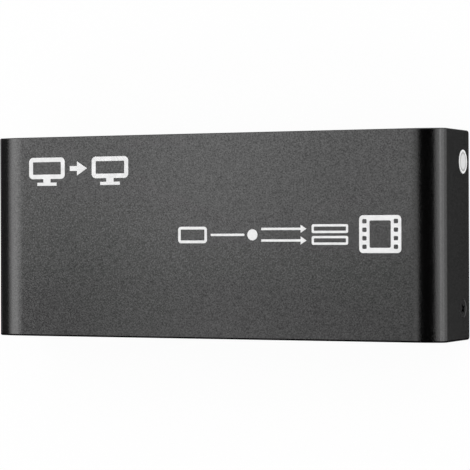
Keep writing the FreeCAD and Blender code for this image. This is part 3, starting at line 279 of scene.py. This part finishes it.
def oxide(name):
    """Black oxide on the cover screws, dim on the head, with painted shade inside its cross
    recess.
    """
    look = Finish(name, Metallic=1.0)
    mill = look.noise(0.2, 3.0)
    haze = look.noise(2.5, 3.0)
    face = box_mm("cover_screws")[1].x
    sunk = look.sum(face, look.sum(look.axis("X"), 0.0, "ABSOLUTE"), "SUBTRACT")
    # Painted shade: inside the recess the colour goes near black and the reflection is taken away.
    deep = look.ramp(sunk, 0.0, 1.0, RECESS_SHADE_FROM, 2 * RECESS_SHADE_FROM)
    head = look.blend(look.ramp(haze, 0.0, 1.0), grey(0.062), grey(0.078))
    look.set(Base_Color=look.blend(deep, head, grey(0.006)))
    look.set(Specular_Tint=look.blend(deep, grey(0.32), grey(0.0)))
    streaks = look.ramp(mill, -0.06, 0.06, 0.3, 0.7)
    look.set(Roughness=look.sum(look.ramp(haze, 0.34, 0.26), streaks))
    look.set(Normal=look.bump(mill, 0.0012))
    return look.material


def moulded(name, level, rough, grain=0.09, relief=0.004):
    """Moulded plastic or resin with a fine eroded texture."""
    look = Finish(name)
    pits = look.noise(grain, 2.0)
    flow = look.noise(1.6, 3.0)
    look.set(Base_Color=look.blend(look.ramp(flow, 0.0, 1.0), grey(level * 0.8),
                                   grey(level * 1.25)))
    look.set(Roughness=look.ramp(flow, rough - 0.06, rough + 0.06))
    look.set(Normal=look.bump(pits, relief))
    return look.material


def lens(name, colour):
    """Tinted epoxy with a diffusing filler."""
    look = Finish(name, Transmission=0.35, Subsurface=0.5, Subsurface_Scale=0.6 * MM,
                  Subsurface_Radius=(1.0, 0.6, 0.5), IOR=1.54, Coat=0.3)
    filler = look.noise(0.35, 3.0)
    deep = tuple(part * 0.8 for part in colour)
    look.set(Base_Color=look.blend(look.ramp(filler, 0.0, 1.0), deep, colour))
    look.set(Roughness=look.ramp(filler, 0.16, 0.26))
    look.set(Normal=look.bump(look.noise(0.5, 2.0), 0.002))
    return look.material


def laminate(name):
    """Green solder mask over copper: tracks run both ways and show as paler ridges."""
    look = Finish(name, Coat=0.25, Coat_Roughness=0.2)
    across = look.noise(0.35, 0.0, (1.0, 0.03, 1.0))
    along = look.noise(0.35, 0.0, (0.03, 1.0, 1.0))
    where = look.ramp(look.noise(9.0, 1.0), 0.0, 1.0, 0.48, 0.52)
    first = look.ramp(across, 0.0, 1.0, 0.55, 0.57)
    second = look.ramp(along, 0.0, 1.0, 0.55, 0.57)
    tracks = look.sum(look.sum(first, where, "MULTIPLY"),
                      look.sum(second, look.sum(1.0, where, "SUBTRACT"), "MULTIPLY"))
    look.set(Base_Color=look.blend(tracks, (0.006, 0.07, 0.025), (0.02, 0.16, 0.06)))
    look.set(Roughness=look.ramp(look.noise(1.2), 0.3, 0.42))
    look.set(Normal=look.bump(tracks, 0.02))
    return look.material


# The tinned ends of chip parts, and how softly they begin.
CAP_TIN = (0.62, 0.62, 0.6)
CAP_FADE = 0.02


def capped(name, colour, rows, half):
    """Ceramic chip parts in rows: plain bodies with tinned ends past half from each row."""
    look = Finish(name)
    y = look.axis("Y")
    reach = None
    for row in rows:
        gap = look.sum(look.sum(y, row, "SUBTRACT"), 0.0, "ABSOLUTE")
        reach = gap if reach is None else look.sum(reach, gap, "MINIMUM")
    ends = look.ramp(reach, 0.0, 1.0, half - CAP_FADE, half + CAP_FADE)
    mottle = look.ramp(look.noise(0.3, 2.0), 0.0, 1.0)
    body = look.blend(mottle, tuple(part * 0.8 for part in colour), colour)
    look.set(Base_Color=look.blend(ends, body, CAP_TIN), Metallic=ends)
    look.set(Roughness=look.ramp(mottle, 0.3, 0.45, 0.0, 1.0))
    look.set(Normal=look.bump(look.noise(0.1), 0.004))
    return look.material


def wound(name, colour, wire):
    """Enamelled wire in rings, one above the other, with painted shade in the grooves between
    them.
    """
    look = Finish(name, Metallic=1.0, Coat=0.6, Coat_Roughness=0.15)
    rings = look.sum(look.sum(look.axis("Z"), math.tau / wire, "MULTIPLY"), 0.0, "SINE")
    height = look.ramp(rings, 0.0, 1.0, -1.0, 1.0)
    # Painted shade: the colour darkens towards the grooves between the turns.
    look.set(Base_Color=look.blend(height, tuple(part * 0.45 for part in colour), colour))
    look.set(Roughness=look.ramp(look.noise(0.4), 0.22, 0.34))
    look.set(Normal=look.bump(height, wire * 0.3))
    return look.material


def row_middles(node, half):
    """The y of the first and last row of parts that are twice half long."""
    low, high = box_mm(node)
    return sorted({round(low.y + half, 3), round(high.y - half, 3)})


# Metals, and rolling lines that run no way. Half a chip part's length, and where the tinned
# ends of chip parts and of the fuse begin. Where the cover's bends begin, and how deep the
# painted shade along its front cut rim reaches.
NICKEL, STEEL, TIN = (0.66, 0.63, 0.57), (0.60, 0.60, 0.59), (0.66, 0.66, 0.65)
EVEN = (1.0, 1.0, 1.0)
CHIP_HALF, CHIP_CAP_FROM = 0.8, 0.5
FUSE_CAP_FROM = 1.6
BEND_FROM, RIM_SHADE_DEPTH = 48.0, 0.36
fuse_low, fuse_high = box_mm("fuse")
fuse_middle = (fuse_low.y + fuse_high.y) / 2
cover_low, cover_high = box_mm("top_cover")

FINISHES = {
    # The painted shade along the cover's front cut edge reaches up to y = rim.
    "cover_black": anodised("cover_anodised", level=0.09, rough=0.13, tint=0.3,
                            bend=BEND_FROM, rim=cover_low.y + RIM_SHADE_DEPTH),
    "tray_black": anodised("tray_anodised", level=0.085, rough=0.2, tint=0.3),
    "screw_black": oxide("screw_oxide"),
    "seal_paper": paper("seal_paper"),
    "foot_rubber": rubber("foot_rubber"),
    "standoff_steel": rolled_metal("standoff_steel", STEEL, rough=0.3, grain=0.08, run=EVEN),
    "board_screw_steel": rolled_metal("board_screw_steel", STEEL, rough=0.26, grain=0.1,
                                      run=EVEN),
    "board_laminate": laminate("board_laminate"),
    "jack_plastic": moulded("jack_plastic", level=0.016, rough=0.48),
    "jack_metal": rolled_metal("jack_metal", NICKEL, rough=0.2, grain=0.08),
    "lamp_red": lens("lamp_red", (0.55, 0.035, 0.025)),
    "lamp_green": lens("lamp_green", (0.05, 0.42, 0.10)),
    "tinned_wire": rolled_metal("tinned_wire", TIN, rough=0.25, grain=0.1),
    "chip_resin": moulded("chip_resin", level=0.02, rough=0.6, grain=0.05, relief=0.006),
    "chip_leads": rolled_metal("chip_leads", TIN, rough=0.3, grain=0.1),
    "thermal_pad": moulded("thermal_pad", level=0.32, rough=0.85, grain=0.2, relief=0.01),
    "sink_aluminium": rolled_metal("sink_aluminium", (0.72, 0.72, 0.73), rough=0.34,
                                   grain=0.12),
    "capacitor_plastic": moulded("capacitor_plastic", level=0.018, rough=0.5),
    "capacitor_can": rolled_metal("capacitor_can", (0.74, 0.74, 0.75), rough=0.3, grain=0.15),
    "ferrite": moulded("ferrite", level=0.035, rough=0.72, grain=0.12, relief=0.015),
    "copper": wound("copper_winding", (0.72, 0.32, 0.16), wire=0.35),
    "crystal_steel": rolled_metal("crystal_steel", STEEL, rough=0.22, grain=0.2),
    "ceramic_tan": capped("ceramic_tan", (0.36, 0.24, 0.15),
                          row_middles("chip_capacitors", CHIP_HALF), CHIP_CAP_FROM),
    "ceramic_black": capped("ceramic_black", (0.02, 0.02, 0.022),
                            row_middles("chip_resistors", CHIP_HALF), CHIP_CAP_FROM),
    "fuse_green": capped("fuse_green", (0.06, 0.22, 0.09), [fuse_middle], FUSE_CAP_FROM),
    "socket_steel": rolled_metal("socket_steel", NICKEL, rough=0.24, grain=0.07),
    "socket_plastic": moulded("socket_plastic", level=0.014, rough=0.42),
    "contact_gold": rolled_metal("contact_gold", (0.80, 0.56, 0.22), rough=0.2, grain=0.1),
}
INK = screen_ink("screen_ink")

for node in NODES.values():
    for holder in node.material_slots:
        holder.material = FINISHES[holder.material.name.split(".")[0]]


# Mesh tools.

def new_piece(name, mesh, slot, material=None, replaces=()):
    """A piece of the object on the one body there is."""
    piece = bpy.data.objects.new(name, mesh)
    bpy.context.scene.collection.objects.link(piece)
    mesh.materials.clear()
    mesh.materials.append(material or FINISHES[slot])
    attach(piece, "root")
    if replaces:
        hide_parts(*replaces)


def mesh_from(name, points, faces):
    """A mesh from points in millimetres, with its faces turned outwards."""
    mesh = bpy.data.meshes.new(name)
    mesh.from_pydata([Vector(point) * MM for point in points], [], faces)
    shape = bmesh.new()
    shape.from_mesh(mesh)
    bmesh.ops.recalc_face_normals(shape, faces=shape.faces)
    shape.to_mesh(mesh)
    shape.free()
    return mesh


def baked(mesh, kind, **settings):
    """The mesh after a modifier of this kind, with its settings."""
    carrier = bpy.data.objects.new(mesh.name, mesh)
    bpy.context.scene.collection.objects.link(carrier)
    modifier = carrier.modifiers.new(kind.lower(), kind)
    for key, value in settings.items():
        setattr(modifier, key, value)
    graph = bpy.context.evaluated_depsgraph_get()
    result = bpy.data.meshes.new_from_object(carrier.evaluated_get(graph))
    bpy.data.objects.remove(carrier)
    return result


def smooth(mesh, degrees=30):
    """Rounded areas shaded smooth, with flats kept flat by weighted normals."""
    for face in mesh.polygons:
        face.use_smooth = True
    mesh.set_sharp_from_angle(angle=math.radians(degrees))
    return baked(mesh, "WEIGHTED_NORMAL", mode="FACE_AREA", keep_sharp=True, weight=100)


def bands(rings, count):
    """Faces between closed rings of points that lie one after another in a list."""
    faces = []
    for ring in range(rings - 1):
        first, second = ring * count, (ring + 1) * count
        for step in range(count):
            after = (step + 1) % count
            faces.append((first + step, first + after, second + after, second + step))
    return faces


def capped_bands(rings, count):
    """The same faces with a lid on the first ring and on the last."""
    last = (rings - 1) * count
    return bands(rings, count) + [tuple(range(count)), tuple(range(last, last + count))]


def spun(profile, count):
    """Points and faces of a profile of (along, radius) turned round the X axis."""
    points = []
    for along, radius in profile:
        for step in range(count):
            turn = math.tau * step / count
            points.append((along, radius * math.cos(turn), radius * math.sin(turn)))
    return points, capped_bands(len(profile), count)


def carved(mesh, cutter_mesh):
    """The mesh with the other one's space cut out of it."""
    cutter = bpy.data.objects.new("cutter", cutter_mesh)
    bpy.context.scene.collection.objects.link(cutter)
    result = baked(mesh, "BOOLEAN", operation="DIFFERENCE", solver="EXACT", object=cutter)
    bpy.data.objects.remove(cutter)
    return result


# The folded cover, whose bends carry the photograph's bands of light.

# Half the width, the foot, half the depth and the roof, which is lower by the ink's thickness.
HALF, FOOT, DEEP = cover_high.x, cover_low.z, cover_high.y
INK_WALL = 0.02
ROOF = cover_high.z - INK_WALL
WALL = 1.2

# The bend's two radii, the degrees that the wide one turns, and the steps of each.
CROWN, EDGE, TURN = 16.0, 1.8, 22.0
CROWN_STEPS, EDGE_STEPS = 28, 31

# The ease of the cut edges, the radius of the legs' corners, the loops' places inwards from a
# cut edge, and how far beside a bend a flat has its next line.
CHAMFER, CORNER = 0.2, 0.8
RING_STEPS = (0.0, 0.05, CHAMFER, 0.4, 0.6, CORNER)
SUPPORT = 0.3


def arch(half, foot, roof, crown, edge):
    """The box's end-on outline from the left foot over the top to the right foot."""
    turn = math.radians(TURN)
    inset = (crown - edge) * math.sin(turn) + edge
    drop = crown - (crown - edge) * math.cos(turn)
    left = [(-half, foot), (-half, roof - drop - SUPPORT)]
    for step in range(EDGE_STEPS + 1):
        angle = math.pi - (math.pi / 2 - turn) * step / EDGE_STEPS
        left.append((edge - half + edge * math.cos(angle),
                     roof - drop + edge * math.sin(angle)))
    for step in range(1, CROWN_STEPS + 1):
        angle = math.pi / 2 + turn * (1 - step / CROWN_STEPS)
        left.append((inset - half + crown * math.cos(angle),
                     roof - crown + crown * math.sin(angle)))
    left.append((inset - half + SUPPORT, roof))
    return left + [(-x, z) for x, z in reversed(left)]


def cover_ring(end, inwards):
    """One closed loop round the folded sheet, so far inwards from one of its cut edges. The
    edges are eased, and the legs' corners are a little round."""
    ease = max(CHAMFER - inwards, 0.0)
    foot = FOOT + CORNER - math.sqrt(CORNER ** 2 - max(CORNER - inwards, 0.0) ** 2)
    foot = max(foot, FOOT + ease)
    outer = arch(HALF - ease, foot, ROOF - ease, CROWN - ease, EDGE - ease)
    inner = arch(HALF - WALL + ease, foot, ROOF - WALL + ease,
                 CROWN - WALL + ease, EDGE - WALL + ease)
    return [(x, end * (DEEP - inwards), z) for x, z in outer + inner[::-1]]


# Each cover screw's end and side of the box, and how far its recess is turned.
SCREWS = ((1, -1, 38), (1, 1, 15), (-1, -1, 64), (-1, 1, 27))

# Radii of the head, shank and hole, the screw's length, the countersink's depth, how far a
# cutting shape stands out, and the eases of the head and of the tip.
HEAD, SHANK, HOLE = 1.9, 1.0, 1.1
LONG, SINK, CLEAR = 3.0, 0.9, 0.1
HEAD_EASE, HEAD_DROP, TIP_EASE = 0.05, 0.02, 0.1
ROUND = 64

# The reach and half the width of the recess's arms, at its mouth and at its pit.
RECESS_ARM, RECESS_SLIM, RECESS_DEEP = 1.28, 0.3, 1.1
PIT_ARM, PIT_SLIM = 0.3, 0.12


def at_screws(name, shape):
    """One mesh of a shape about the X axis, made for each screw's turn and moved to it."""
    low, high = box_mm("cover_screws")
    middle, level = high.y - HEAD, (low.z + high.z) / 2
    points, faces = [], []
    for end, side, turned in SCREWS:
        shape_points, shape_faces = shape(turned)
        start = len(points)
        points += [(end * x, side * middle + y, level + z) for x, y, z in shape_points]
        faces += [tuple(start + corner for corner in face) for face in shape_faces]
    return mesh_from(name, points, faces)


def screw_hole(_):
    """A countersunk hole through the cover's wall, as a cutting shape."""
    return spun([(HALF + CLEAR, HOLE + SINK + CLEAR), (HALF - SINK, HOLE),
                 (HALF - 2 * WALL, HOLE)], ROUND)


def screw_body(_):
    """A countersunk screw with an eased rim and tip."""
    face = box_mm("cover_screws")[1].x
    return spun([(face, HEAD - HEAD_EASE), (face - HEAD_DROP, HEAD - HEAD_DROP),
                 (face - SINK, SHANK), (face - LONG + TIP_EASE, SHANK),
                 (face - LONG, SHANK - TIP_EASE)], ROUND)


def cross_ring(along, arm, slim, turned):
    """The twelve corners of a cross about the X axis, turned by so many degrees."""
    ring = []
    for quarter in range(4):
        angle = math.radians(turned + 90 * quarter)
        for a, b in ((arm, -slim), (arm, slim), (slim, slim)):
            ring.append((along, a * math.cos(angle) - b * math.sin(angle),
                         a * math.sin(angle) + b * math.cos(angle)))
    return ring


def screw_recess(turned):
    """A cross recess that narrows from the screw's face to its pit, as a cutting shape."""
    face = box_mm("cover_screws")[1].x
    mouth = cross_ring(face + CLEAR, RECESS_ARM, RECESS_SLIM, turned)
    pit = cross_ring(face - RECESS_DEEP, PIT_ARM, PIT_SLIM, turned)
    return mouth + pit, capped_bands(2, len(mouth))


def make_cover():
    """The folded cover with fine bends, eased cut edges and countersunk screw holes."""
    rings = [cover_ring(-1, step) for step in RING_STEPS]
    rings += [cover_ring(1, step) for step in reversed(RING_STEPS)]
    count = len(rings[0])
    faces = bands(len(rings), count)
    for start in (0, (len(rings) - 1) * count):
        for step in range(count // 2 - 1):
            faces.append((start + step, start + step + 1,
                          start + count - 2 - step, start + count - 1 - step))
    sheet = mesh_from("cover", [point for ring in rings for point in ring], faces)
    mesh = carved(sheet, at_screws("holes", screw_hole))
    new_piece("cover", smooth(mesh), "cover_black", replaces=["top_cover"])


def make_cover_screws():
    """Four countersunk screws, each with its cross recess as the driver left it."""
    mesh = carved(at_screws("screws", screw_body), at_screws("recesses", screw_recess))
    new_piece("screws", smooth(mesh), "screw_black", replaces=["cover_screws"])


make_cover()
make_cover_screws()


# Printing on the top face.

def round_box(left, low, right, high, radius, steps=8):
    """The corners of a rectangle with rounded corners."""
    radius = min(radius, (right - left) / 2, (high - low) / 2)
    spots = [(right - radius, high - radius, 0), (left + radius, high - radius, 90),
             (left + radius, low + radius, 180), (right - radius, low + radius, 270)]
    outline = []
    for x, y, start in spots:
        for step in range(steps + 1):
            turn = math.radians(start + 90 * step / steps)
            outline.append((x + radius * math.cos(turn), y + radius * math.sin(turn)))
    return outline


def disc(x, y, radius, steps=32):
    """The outline of a disc."""
    return [(x + radius * math.cos(math.tau * step / steps),
             y + radius * math.sin(math.tau * step / steps)) for step in range(steps)]


def ink_piece(name, outlines, seat):
    """Flat printed shapes: outlines inside others are holes. seat turns (a, b, up) to space."""
    curve = bpy.data.curves.new(name, "CURVE")
    curve.dimensions = "2D"
    curve.fill_mode = "BOTH"
    curve.extrude = INK_WALL / 2 * MM
    for outline in outlines:
        line = curve.splines.new("POLY")
        line.points.add(len(outline) - 1)
        for point, (a, b) in zip(line.points, outline):
            point.co = (a * MM, b * MM, 0.0, 1.0)
        line.use_cyclic_u = True
    carrier = bpy.data.objects.new(name, curve)
    bpy.context.scene.collection.objects.link(carrier)
    graph = bpy.context.evaluated_depsgraph_get()
    mesh = bpy.data.meshes.new_from_object(carrier.evaluated_get(graph))
    bpy.data.objects.remove(carrier)
    mesh.transform(seat)
    new_piece(name, mesh, "cover_black", INK)


def on_top(x, y):
    """The seat of a drawing whose corner is here on the top face."""
    return Matrix.Translation(Vector((x, y, cover_high.z - INK_WALL / 2)) * MM)


def frame_shape(left, low, right, high, stroke, radius):
    """A rounded frame: its outer outline and its hole."""
    return [round_box(left, low, right, high, radius),
            round_box(left + stroke, low + stroke, right - stroke, high - stroke,
                      max(radius - stroke, 0.15))]


def screen_shape(x, width, height, stroke):
    """A display on a stand, its foot's middle at x: one outline with the picture as its hole."""
    foot, low = height * 0.11, height * 0.24
    rim, hole = frame_shape(x - width / 2, low, x + width / 2, height, stroke, stroke)
    turned = rim[len(rim) * 3 // 4:] + rim[:len(rim) * 3 // 4]
    wide, neck = width * 0.27, width * 0.1
    stand = [(x - neck, foot), (x - wide, foot), (x - wide, 0), (x + wide, 0), (x + wide, foot),
             (x + neck, foot), (x + neck, low)]
    return [[(x - neck, low)] + stand + turned, hole]


def arrow_shape(left, right, y, wall, head):
    """An arrow pointing right, with a head so high."""
    neck = right - head * 0.8
    return [[(left, y - wall / 2), (neck, y - wall / 2), (neck, y - head / 2), (right, y),
             (neck, y + head / 2), (neck, y + wall / 2), (left, y + wall / 2)]]


def film_shape(width, height, band, rail, first, pitch):
    """A frame of film with four holes down each side, in its bands."""
    hole_wide, hole_high, margin = 1.0, 0.95, 0.7
    shapes = [round_box(0, 0, width, height, 0.9),
              round_box(band, rail, width - band, height - rail, 0.35)]
    for row in range(4):
        low = first + row * pitch
        for left in (margin, width - margin - hole_wide):
            shapes.append(round_box(left, low, left + hole_wide, low + hole_high, 0.25, 4))
    return shapes


# What the drawings repeat.
DISPLAY = {"width": 9.2, "height": 6.35, "stroke": 1.0}
LINK_ARROW = {"left": 20.0, "right": 30.6, "wall": 0.5, "head": 1.7}


def make_prints():
    """Plain pictograms where the box is printed."""
    ink_piece("print_displays", screen_shape(4.6, **DISPLAY)
              + arrow_shape(10.5, 14.9, 3.8, wall=1.1, head=3.2)
              + screen_shape(20.7, **DISPLAY), on_top(-45.0, 11.5))
    link = frame_shape(0, 0.4, 7.0, 4.0, 0.6, 0.7)
    link += [round_box(7.9, 1.95, 16.0, 2.45, 0.2), disc(17.9, 2.2, 1.2)]
    for y in (3.45, 0.95):
        link += arrow_shape(y=y, **LINK_ARROW)
    for low in (2.5, 0.0):
        link += frame_shape(31.8, low, 40.2, low + 1.9, 0.5, 0.4)
    ink_piece("print_link", link, on_top(-7.4, -1.95))
    film = film_shape(9.5, 8.0, band=2.35, rail=1.1, first=0.85, pitch=1.8)
    ink_piece("print_film", film, on_top(35.3, -3.7))


make_prints()


# The seal's face inside its rim: each radius, and how far it is sunk there.
PRESSED = ((2.3, 0.0), (2.16, 0.008), (2.08, 0.03), (2.0, 0.05), (1.9, 0.056), (1.8, 0.046),
           (1.7, 0.028), (1.58, 0.02), (1.2, 0.016), (0.6, 0.014), (0.1, 0.014))
RIM_DROP, RIM_IN = 0.03, 0.04
SEAL_SIDES, SEAL_SHARP = 72, 50


def make_seal():
    """The paper disc over a screw, pressed into the countersink round the screw's head."""
    low, high = box_mm("seal_sticker")
    radius = (high.y - low.y) / 2
    face = high.x
    profile = [(low.x, radius), (face - RIM_DROP, radius), (face, radius - RIM_IN)]
    profile += [(face - sunk, inner) for inner, sunk in PRESSED]
    points, faces = spun(profile, SEAL_SIDES)
    middle = (low + high) / 2
    points = [(x, y + middle.y, z + middle.z) for x, y, z in points]
    disc_mesh = smooth(mesh_from("seal", points, faces), SEAL_SHARP)
    new_piece("seal", disc_mesh, "seal_paper", replaces=["seal_sticker"])


make_seal()


# Stage, camera and lamps.

# The floor's rings, the stage's radius and that of its corner, a ring low on the wall, and the
# wall's top.
FLOOR_RINGS = (150.0, 500.0, 1000.0, 2000.0)
STAGE_REACH, STAGE_CORNER = 3100.0, 200.0
WALL_RING, STAGE_TOP = 420.0, 1900.0
STAGE_SIDES, CORNER_STEPS = 96, 12

# The wall's top at the left, the degrees on each side of the left up to which it is so low,
# and the degrees in which it rises from there.
STAGE_LOW, LOW_HALF, LOW_RISE = 500.0, 40.0, 20.0
BACKDROP_SHARE = 0.95


def make_stage():
    """A pale studio floor that curves up into a wall, which is lower at the left."""
    flat = STAGE_REACH - STAGE_CORNER
    profile = [(radius, 0.0) for radius in (*FLOOR_RINGS, flat)]
    for step in range(1, CORNER_STEPS + 1):
        angle = math.pi / 2 * step / CORNER_STEPS
        profile.append((flat + STAGE_CORNER * math.sin(angle),
                        STAGE_CORNER * (1 - math.cos(angle))))
    profile += [(STAGE_REACH, WALL_RING), (STAGE_REACH, STAGE_TOP)]
    points = [(0.0, 0.0, 0.0)]
    for radius, height in profile:
        for step in range(STAGE_SIDES):
            turn = math.tau * step / STAGE_SIDES
            from_left = abs(math.degrees(turn) - 180.0)
            rise = min(max((from_left - LOW_HALF) / LOW_RISE, 0.0), 1.0)
            top = min(height, STAGE_LOW + (STAGE_TOP - STAGE_LOW) * rise)
            points.append((radius * math.cos(turn), radius * math.sin(turn), top))
    faces = [(0, 1 + step, 1 + (step + 1) % STAGE_SIDES) for step in range(STAGE_SIDES)]
    for face in bands(len(profile), STAGE_SIDES):
        faces.append(tuple(1 + corner for corner in reversed(face)))
    mesh = bpy.data.meshes.new("studio")
    mesh.from_pydata([Vector(point) * MM for point in points], [], faces)
    for face in mesh.polygons:
        face.use_smooth = True
    studio = bpy.data.objects.new("studio", mesh)
    bpy.context.scene.collection.objects.link(studio)
    mesh.materials.append(studio_white("studio_white"))


def studio_white(name):
    """White paint that the camera, mirrors and glass see as a white backdrop, with a share of
    the object's shadow."""
    look = Finish(name, Roughness=0.9, Specular=0.1)
    look.set(Base_Color=look.blend(look.noise(40.0), grey(0.93), grey(0.95)))
    look.set(Normal=look.bump(look.noise(0.5), 0.01))
    paths = look.add("ShaderNodeLightPath").outputs
    seen = look.sum(paths["Is Camera Ray"], paths["Is Glossy Ray"], "MAXIMUM")
    seen = look.sum(seen, paths["Is Transmission Ray"], "MAXIMUM")
    glow = look.add("ShaderNodeEmission", {"Color": grey(1.0), "Strength": 1.0})
    mixed = look.add("ShaderNodeMixShader", {0: look.sum(seen, BACKDROP_SHARE, "MULTIPLY"),
                                             1: look.shader.outputs[0], 2: glow.outputs[0]})
    output = look.tree.nodes["Material Output"]
    look.tree.links.new(mixed.outputs[0], output.inputs["Surface"])
    return look.material


# The camera as fitted to the box's outline in the photograph: its turns in degrees, the place
# of the middle of the top face before it, and its focal length in the photograph's pixels.
CAMERA_TURNS = (("Y", -24.70), ("X", 0.03), ("Z", 0.22))
CAMERA_SHIFT = Vector((-5.775, -0.234, -484.155))
FOCAL_PIXELS, PHOTO_PIXELS = 2216, 470
SENSOR = 36.0
NEAR, FAR = 20, 20000


def make_camera():
    """The camera at the photograph's viewing angle."""
    turn = Matrix.Identity(3)
    for axis, degrees in CAMERA_TURNS:
        turn = Matrix.Rotation(math.radians(degrees), 3, axis) @ turn
    camera = bpy.data.objects.new("camera", bpy.data.cameras.new("camera"))
    bpy.context.scene.collection.objects.link(camera)
    spot = Vector((0, 0, cover_high.z)) - turn.transposed() @ CAMERA_SHIFT
    camera.matrix_world = Matrix.Translation(spot * MM) @ turn.transposed().to_4x4()
    camera.data.sensor_width = SENSOR
    camera.data.lens = FOCAL_PIXELS / PHOTO_PIXELS * SENSOR
    camera.data.clip_start = NEAR * MM
    camera.data.clip_end = FAR * MM
    bpy.context.scene.camera = camera


# A flat lamp's watts for each square metre at a radiance of 1, and the gap between the two
# steps of a soft lamp.
WATTS = 4
LAMP_GAP = 12.0

# The y from which and to which most lamps run, the place of a bend, the two fills, and the
# world's grey.
LAMP_FRONT, LAMP_REAR = -300, 400
BEND_ACROSS, BEND_LEVEL = 50.0, 15.0
FILL_AWAY, FILL_WIDE, FILL_HIGH, FILL_RADIANCE = 2200.0, 4400, 1600, 1.1
WORLD_GREY = 0.01


def panel(name, spot, aim, wide, high, radiance, soft=0.0):
    """A flat lamp in millimetres, facing from its spot to its aim. It is wide across the
    box's depth and high the other way, and soft spreads its edges into two steps."""
    towards = (Vector(spot) - Vector(aim)).normalized()
    across = Vector((0, 1, 0)) if abs(towards.y) < 0.7 else Vector((1, 0, 0))
    up = towards.cross(across).normalized()
    side = up.cross(towards).normalized()
    turn = Matrix((side, up, towards)).transposed()
    steps = (-soft / 2, soft / 2) if soft else (0.0,)
    for count, step in enumerate(steps):
        lamp = bpy.data.lights.new(name, "AREA")
        lamp.shape = "RECTANGLE"
        lamp.size = (wide + 2 * step) * MM
        lamp.size_y = (high + 2 * step) * MM
        lamp.energy = radiance / len(steps) * WATTS * lamp.size * lamp.size_y
        holder = bpy.data.objects.new(name + "_%d" % count, lamp)
        bpy.context.scene.collection.objects.link(holder)
        place = Vector(spot) + towards * LAMP_GAP * count
        holder.matrix_world = Matrix.Translation(place * MM) @ turn.to_4x4()
        holder.visible_camera = False


def above_panel(name, left, right, radiance, soft, height, front=LAMP_FRONT, rear=LAMP_REAR):
    """A lamp that lies flat over the box."""
    x, y = (left + right) / 2, (front + rear) / 2
    height += cover_high.z
    panel(name, (x, y, height), (x, y, 0), rear - front, right - left, radiance, soft)


def bend_panel(name, first, last, radiance, away, soft=0.0, front=LAMP_FRONT):
    """A lamp that a bend sees between two tilts, those towards +X being positive."""
    tilt = math.radians((first + last) / 2)
    tall = 2 * away * math.tan(math.radians((last - first) / 2))
    bend = Vector((math.copysign(BEND_ACROSS, tilt), (front + LAMP_REAR) / 2, BEND_LEVEL))
    spot = bend + Vector((math.sin(tilt), 0.0, math.cos(tilt))) * away
    panel(name, spot, bend, LAMP_REAR - front, tall, radiance, soft)


def fill_panel(name, lean):
    """A wide lamp far off, seen from the box at a lean towards +Y. It lights ink and paper."""
    lean = math.radians(lean)
    spot = Vector((0.0, math.sin(lean), math.cos(lean))) * FILL_AWAY
    panel(name, spot, (0, 0, 0), FILL_WIDE, FILL_HIGH, FILL_RADIANCE)


def make_lights():
    """The key that the top face mirrors, the strips and cards that the bends mirror, the two
    fills, and a dim world."""
    above_panel("key", -410, -25, radiance=0.388, soft=20, height=500)
    above_panel("key_edge", -125, -25, radiance=0.2, soft=20, height=590)
    above_panel("key_rear", -420, -150, radiance=0.74, soft=90, height=530, front=38, rear=420)
    above_panel("key_core", -345, -205, radiance=0.3, soft=60, height=560)
    bend_panel("strip_left", -55, -34.5, radiance=1.6, away=560, soft=60)
    bend_panel("glow_left", -95, -60, radiance=0.08, away=620)
    bend_panel("card_right", 21.5, 54, radiance=1.1, away=560, soft=90)
    bend_panel("card_rear", 24, 54, radiance=0.6, away=600, soft=90, front=0)
    bend_panel("card_low", 50, 90, radiance=0.42, away=640)
    fill_panel("fill_rear", 58)
    fill_panel("fill_front", -60)
    world = bpy.data.worlds.new("studio_air")
    bpy.context.scene.world = world
    world.use_nodes = True
    air = world.node_tree.nodes["Background"]
    air.inputs["Color"].default_value = (*grey(WORLD_GREY), 1.0)


make_stage()
make_camera()
make_lights()
bpy.context.scene.view_settings.view_transform = "Standard"
